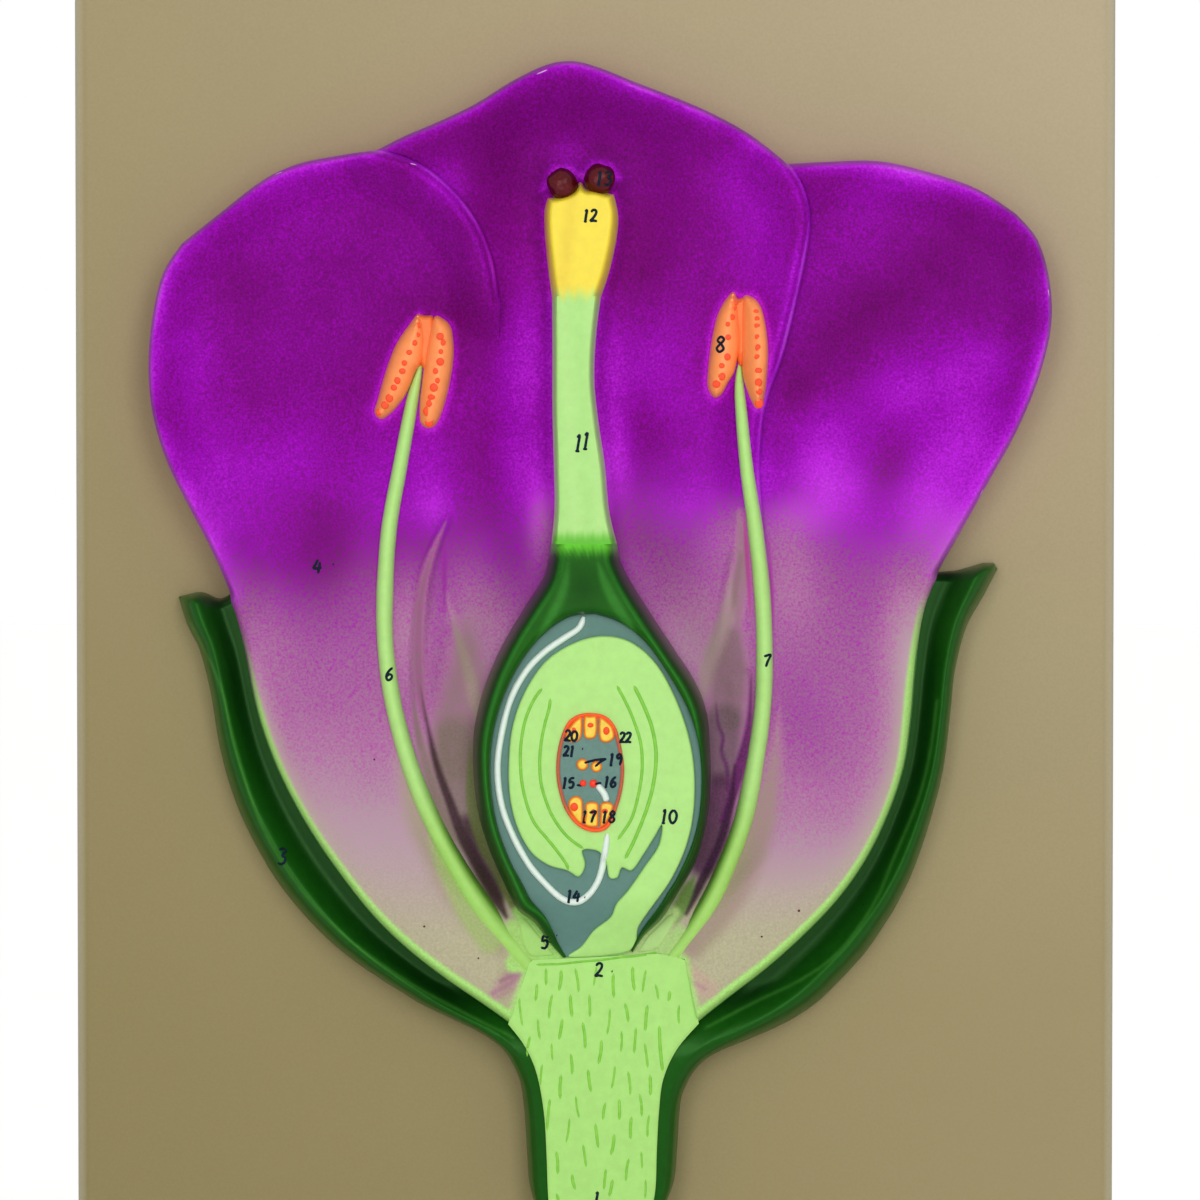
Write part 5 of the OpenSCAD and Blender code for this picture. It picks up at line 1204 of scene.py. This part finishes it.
def stroke(points, halfWidth, ends=0.35, step=0.5, lift=0.0):
    p = np.array(points, float)
    p = smooth(p, 8) if len(p) > 2 else p
    n = max(4, int(np.linalg.norm(np.diff(p, axis=0), axis=1).sum() / step))
    line = along(p, even(n))
    if line.shape[1] < 3:
        line = np.column_stack([line, np.full(len(line), halfWidth)])
    k = np.minimum(np.arange(len(line)), np.arange(len(line))[::-1])
    width = line[:, 2] * (ends + (1 - ends) * quarter(k * step / (2 * halfWidth), 1))
    level = settle(line, marks["proud"] + lift)
    return np.column_stack([line[:, :2], level, width])


integuments = [
    [(-15, 188.8), (-17.5, 185.2), (-19.6, 180.3), (-20.8, 174.6), (-21.2, 168.9), (-20.7, 161.8), (-19.2, 155.4),
     (-17.1, 150.4), (-13.6, 146.1), (-10.7, 142.5), (-8.2, 139), (-7.5, 137.2)],
    [(-12.7, 185.9), (-13, 183.1), (-14.2, 178.8), (-15.3, 173.1), (-15.7, 167.5), (-15.3, 161.8), (-13.9, 156.8),
     (-12.1, 152.5), (-9.3, 148.3), (-6.4, 145.4), (-3.2, 143.3)],
    [(6.2, 189.5), (8.5, 185.2), (10.7, 180.3), (12.8, 173.8), (13.4, 167.5), (12.9, 161.8), (11.7, 156.1),
     (10, 151.1), (6.4, 145.8)],
    [(11, 189.5), (13.5, 184.5), (16, 178.1), (17.2, 171.7), (17.2, 166.7), (16.4, 161), (14.9, 155.3),
     (12.8, 149.6), (10.7, 144.7), (8.5, 140.4)],
]
receptacleLine = [(-16.8, 109.5), (-10, 109.7), (-4.3, 110.3), (1.4, 110.8), (7.1, 111.5), (12.8, 112.1),
    (17.7, 112.9)]
paths = [stroke(line, 0.42 if k < 3 else 0.5, 0.2, 0.8) for k, line in enumerate(integuments)]
paths.append(stroke(receptacleLine, 0.3, 0.3, 0.8))
addStrands("brushLines", paths, marks["flatness"], 8, linePaint, "cut_green")

# brush dashes down the stem: x, top, bottom
dashes = [(-14, 108.5, 103.5), (-10, 108, 102), (-5.2, 108.5, 101.5), (0, 109, 103.5), (5.3, 107, 100),
    (11, 109, 102), (14, 108, 101.5), (17.6, 104, 99.5), (21, 102, 99), (-16.8, 104, 99), (-21.2, 100, 92),
    (-12.7, 101, 94), (-6.8, 101, 94.5), (-1.6, 101, 94.5), (3.8, 97, 89.5), (9, 98.5, 93), (14.6, 98, 90.5),
    (24, 98, 92.5), (-16, 94, 88), (-9.8, 94, 88), (-3.2, 93, 85.5), (7.4, 90.5, 84.5), (11.4, 91.5, 84),
    (18.8, 92, 79), (-19, 89, 83), (-12.3, 87, 82), (-6.8, 84, 78), (1.4, 88, 81), (14.6, 87, 80), (-15.3, 81, 75),
    (-9.8, 78, 71), (-1.6, 79.5, 73), (5.2, 80.5, 74), (9.7, 79, 72), (15.7, 78, 72), (-13.3, 71, 62),
    (-5, 72, 65.5), (2.6, 70, 65), (6.9, 71, 65), (13, 72.5, 66), (-7.8, 65.5, 58.5), (0.5, 64, 57),
    (10.3, 66, 59.5), (15.2, 66.5, 60), (-3, 58, 51.5), (5, 61, 55), (-10.9, 56, 49.5), (13.3, 56, 51),
    (9.2, 54, 47.5), (-6.1, 49.5, 45), (2.8, 51, 45), (14.3, 48, 42.5), (-10.7, 44, 40), (4.5, 48, 43)]
paths = []
for k, (x, high, low) in enumerate(dashes):
    lean = 0.5 * math.sin(k * 2.4)
    paths.append(stroke([(x - lean, low), (x + 0.25 * math.sin(k), (low + high) / 2), (x + lean, high)],
                        0.36 + 0.08 * math.sin(k * 1.7), 0.15, 0.8))
addStrands("stemDashes", paths, marks["flatness"], 8, dashPaint, "cut_green")

dots = []
# size, its swing and pace along a row, height under which the dots grow, growth
for key, size, swing, pace, start, growth in [("leftDots", 0.84, 0.14, 2.1, 282, 0.012),
                                              ("rightDots", 0.78, 0.12, 2.3, 288, 0.02)]:
    dots += [(x, z, size - swing * math.sin(k * pace) + max(0, start - z) * growth)
             for k, (x, z) in enumerate(anthers[key])]
addDrops("antherDots", dots, 0.22, 5, dotPaint, "nucleus_red")
nuclei = [(-6, 176.9, 0.8), (-1.3, 178.4, 0.85), (3.2, 176.8, 1), (-5.9, 155.2, 1.1), (-0.5, 153.8, 0.8),
    (2.8, 154, 0.9)]
addDrops("cellNuclei", nuclei, 0.25, 8, dotPaint, "nucleus_red")

# flaws of the paint: pale chips on the rims and dark red specks near the foot
chips = [[(-91, 334.6), (-89, 335.3)], [(-52.4, 337.5), (-50.6, 337)], [(-16.6, 362.8), (-13.6, 364)],
    [(128.7, 302), (129, 300)], [(110.8, 245), (110, 243.4)]]
specks = [(-48.7, 120.5, 0.34), (-33.3, 111.4, 0.3), (58.1, 125, 0.36), (47.5, 117.6, 0.32), (-63, 168, 0.3)]
addStrands("paintChips", [stroke(line, 0.17, 0.1, 0.4, 0.05) for line in chips], 0.5, 8,
           makeInk("chipPale", (214, 176, 212), (190, 120, 200)), "petal_purple")
addDrops("paintSpecks", specks, 0.4, 3, makeInk("speckRed", (96, 30, 44), (70, 18, 30)), "petal_purple")

# digits as pen strokes in a box one high
digits = {
    "0": [[(0.3, 1), (0.08, 0.75), (0.05, 0.35), (0.25, 0), (0.5, 0.2), (0.55, 0.65), (0.32, 1)]],
    "1": [[(0.16, 0.84), (0.3, 1), (0.26, 0.5), (0.22, 0)], [(0.1, 0.02), (0.36, 0)]],
    "2": [[(0.05, 0.8), (0.22, 1), (0.46, 0.92), (0.46, 0.65), (0.25, 0.3), (0.03, 0.05), (0.3, 0.08),
        (0.62, 0.02)]],
    "3": [[(0.08, 0.95), (0.3, 1), (0.5, 0.85), (0.3, 0.58), (0.5, 0.42), (0.48, 0.15), (0.28, 0), (0.05, 0.08)]],
    "4": [[(0.3, 1), (0.15, 0.65), (0.02, 0.38), (0.3, 0.36), (0.6, 0.42)], [(0.45, 0.8), (0.42, 0.4), (0.38, 0)]],
    "5": [[(0.15, 0.95), (0.1, 0.55), (0.36, 0.6), (0.52, 0.35), (0.35, 0.02), (0.05, 0.08)], [(0.15, 0.95),
        (0.35, 0.96), (0.55, 1)]],
    "6": [[(0.5, 1), (0.2, 0.7), (0.06, 0.3), (0.2, 0), (0.45, 0.1), (0.5, 0.35), (0.3, 0.48), (0.1, 0.3)]],
    "7": [[(0.03, 0.86), (0.3, 0.95), (0.58, 0.98), (0.38, 0.5), (0.25, 0)]],
    "8": [[(0.32, 0.55), (0.1, 0.75), (0.28, 1), (0.5, 0.82), (0.32, 0.55), (0.08, 0.25), (0.26, 0), (0.52, 0.2),
        (0.32, 0.55)]],
    "9": [[(0.5, 0.82), (0.3, 1), (0.1, 0.8), (0.22, 0.58), (0.48, 0.75), (0.48, 0.4), (0.4, 0)]],
}
# numbers: digits, x, z, height
numbers = [("12", -1.5, 322.5, 3.3), ("1", -4.7, 258.2, 4.6), ("1", -2.5, 258.8, 4.6), ("4", -79.5, 223, 4),
    ("8", 35.5, 286.3, 4.3), ("6", -58.7, 192.5, 3.5), ("7", 48.8, 196.3, 3.4), ("3", -89.7, 140, 4.4),
    ("5", -14.5, 116, 3.8), ("2", 1, 108, 3.8), ("10", 20.8, 152.4, 3.8), ("14", -6.3, 129.6, 3.2),
    ("15", -7.7, 162, 2.9), ("16", 4.2, 162.3, 2.9), ("17", -1.9, 152.4, 3.2), ("18", 3.7, 152.4, 3.2),
    ("19", 5.7, 168.6, 3.2), ("20", -6.9, 175.4, 3), ("21", -7.4, 171, 2.8), ("22", 8.5, 174.8, 2.8),
    ("1", 0.5, 42.7, 3.2), ("13", 2.4, 333, 3.6)]
# leader lines and stray dots of the pen
leaders = [[(-75, 223.7), (-74.7, 223.5)], [(-3.7, 171.7), (-3.4, 171.6)], [(4.7, 107.6), (5, 107.5)],
    [(-3, 129.4), (-2.8, 129.3)], [(-11, 118.2), (-10.8, 118.1)], [(-5.2, 161.4), (-3.9, 161.2)],
    [(0, 161.7), (1.8, 162)], [(-3, 167.7), (0.2, 168.5), (3.2, 168.8)], [(0, 166.7), (1.6, 168), (3.2, 168.8)]]
pen, pitch = 0.38, 0.62
paths = []
for text, x, z, h in numbers:
    for k, digit in enumerate(text):
        x0 = x + ((k - (len(text) - 1) / 2) * pitch - 0.3) * h
        for line in digits[digit]:
            line = [(x0 + u * h + 0.08 * v * h, z + (v - 0.5) * h) for u, v in line]
            paths.append(stroke(line, pen, 0.6, 0.3, 0.06))
paths += [stroke(line, pen * 0.9, 0.6, 0.3) for line in leaders]
addStrands("numberStrokes", paths, 0.55, 8, inkPaint, "number_ink")
print("botanical flower: painted marks")

# Board and hangers keep their solids and get their finish here

# the board painted darker at the lower left and lighter at the upper right, standing in for the light that falls more
# from the right; its side edges get a painted highlight
board = {
    "lowLeft": (144, 131, 88), "highLeft": (159, 145, 106), "lowRight": (160, 146, 106),
    "highRight": (180, 166, 134), "edgeHighlight": (212, 204, 178), "grain": 0.5,
}


def makeBoard():
    material, tree, shader = newMaterial("boardPaint")
    place = put(tree, "ShaderNodeTexCoord").outputs["Object"]
    at = put(tree, "ShaderNodeSeparateXYZ", {0: place}).outputs
    # painted light: darker towards the lower left, lighter towards the upper right
    across, up = ranged(tree, at[0], -0.15, 0.15), ranged(tree, at[2], 0.1, 0.38)
    colour = mixColour(tree, up, mixColour(tree, across, rgba(board["lowLeft"]), rgba(board["lowRight"])),
                       mixColour(tree, across, rgba(board["highLeft"]), rgba(board["highRight"])))
    # painted highlight along the rounded side edges
    edge = ranged(tree, arithmetic(tree, "ABSOLUTE", at[0], 0), 0.147, 0.1496, 0.0, 0.6)
    colour = mixColour(tree, edge, colour, rgba(board["edgeHighlight"]))
    fine, cloudy = speckle(tree, board["grain"]), speckle(tree, 60, 2)
    light = arithmetic(tree, "MULTIPLY_ADD", fine, 0.16, arithmetic(tree, "MULTIPLY_ADD", cloudy, 0.1, 0.87))
    surfaceOf(tree, shader, scaled(tree, colour, light), 0.6, 0.2, (1, 1, 1), fine, 0.02)
    return material


def makeMetal(name, colour, roughness):
    material, tree, shader = newMaterial(name)
    brushed = speckle(tree, 0.6, 3, (1, 1, 6))
    colour = mixColour(tree, brushed, rgba(colour), rgba([c * 0.8 for c in colour]))
    surfaceOf(tree, shader, colour, roughness, 0.5, (1, 1, 1), brushed, 0.01)
    shader.inputs["Metallic"].default_value = 1
    return material


steelFinish = makeMetal("screwSteel", (176, 178, 180), 0.32)
hangerFinish = makeMetal("hangerSteel", (196, 190, 176), 0.25)
for nodeName, finish in [("backing_board", makeBoard()), ("relief_screws", steelFinish),
                         ("hanger_screws", steelFinish), ("left_hanger_strap", hangerFinish),
                         ("right_hanger_strap", hangerFinish), ("left_hanging_ring", hangerFinish),
                         ("right_hanging_ring", hangerFinish)]:
    node = frame["nodes"][nodeName]
    node.data.materials.clear()
    node.data.materials.append(finish)

# Stage

studio = {
    "ambient": 0.4, "leftWatts": 6.2, "rightWatts": 7.2, "lampPlace": (0.34, -1.38, 0.42), "lampAim": (0, 0, 0.2),
    "lampSize": (0.4, 1.1), "floorGlow": 0.62, "floorReach": 6, "floorDrop": 0.0002, "lens": 156,
    "cameraPlace": (0.0014, -1.506, 0.2575), "cameraTilt": 90 - 1.7,
}

for name, way in (("leftLamp", -1), ("rightLamp", 1)):
    lamp = bpy.data.lights.new(name, "AREA")
    lamp.shape = "RECTANGLE"
    lamp.size, lamp.size_y = studio["lampSize"]
    lamp.energy = studio["leftWatts" if way < 0 else "rightWatts"]
    item = addObject(name, lamp)
    x, y, z = studio["lampPlace"]
    item.location = (way * x, y, z)
    item.rotation_euler = (Vector(studio["lampAim"]) - Vector((way * x, y, z))).to_track_quat("-Z", "Y").to_euler()


def seen(tree):  # 1 where the camera, a reflection or glass sees it, and 0 where it only lights
    rays = put(tree, "ShaderNodeLightPath").outputs
    return arithmetic(tree, "MAXIMUM", rays["Is Camera Ray"],
                      arithmetic(tree, "MAXIMUM", rays["Is Glossy Ray"], rays["Is Transmission Ray"]))


world = bpy.data.worlds.new("studio")
bpy.context.scene.world = world
world.use_nodes = True
tree = world.node_tree
tree.nodes.clear()
strength = ranged(tree, seen(tree), toLow=studio["ambient"])
sky = put(tree, "ShaderNodeBackground", {"Color": (1, 1, 1, 1), "Strength": strength})
put(tree, "ShaderNodeOutputWorld", {"Surface": sky.outputs[0]})

mesh = bpy.data.meshes.new("floor")
r, low = studio["floorReach"], -studio["floorDrop"]
mesh.from_pydata([(-r, -r, low), (r, -r, low), (r, r, low), (-r, r, low)], [], [(0, 1, 2, 3)])
floor = addObject("floor", mesh)
material, tree, shader = newMaterial("floorWhite")
pale = mixColour(tree, speckle(tree, 30), rgba((236, 236, 234)), rgba((241, 241, 239)))
surfaceOf(tree, shader, pale, 0.8, 0.1, (1, 1, 1), speckle(tree, 3), 0.0)
shader.inputs["Emission Color"].default_value = (1, 1, 1, 1)
tree.links.new(arithmetic(tree, "MULTIPLY", seen(tree), studio["floorGlow"]), shader.inputs["Emission Strength"])
mesh.materials.append(material)

camera = bpy.data.cameras.new("camera")
camera.lens = studio["lens"]
camera.sensor_width = 36
camera.clip_start = 0.05
cameraItem = addObject("camera", camera)
cameraItem.location = studio["cameraPlace"]
cameraItem.rotation_euler = (math.radians(studio["cameraTilt"]), 0, 0)
bpy.context.scene.camera = cameraItem
bpy.context.scene.view_settings.view_transform = "Standard"
print("botanical flower: done")
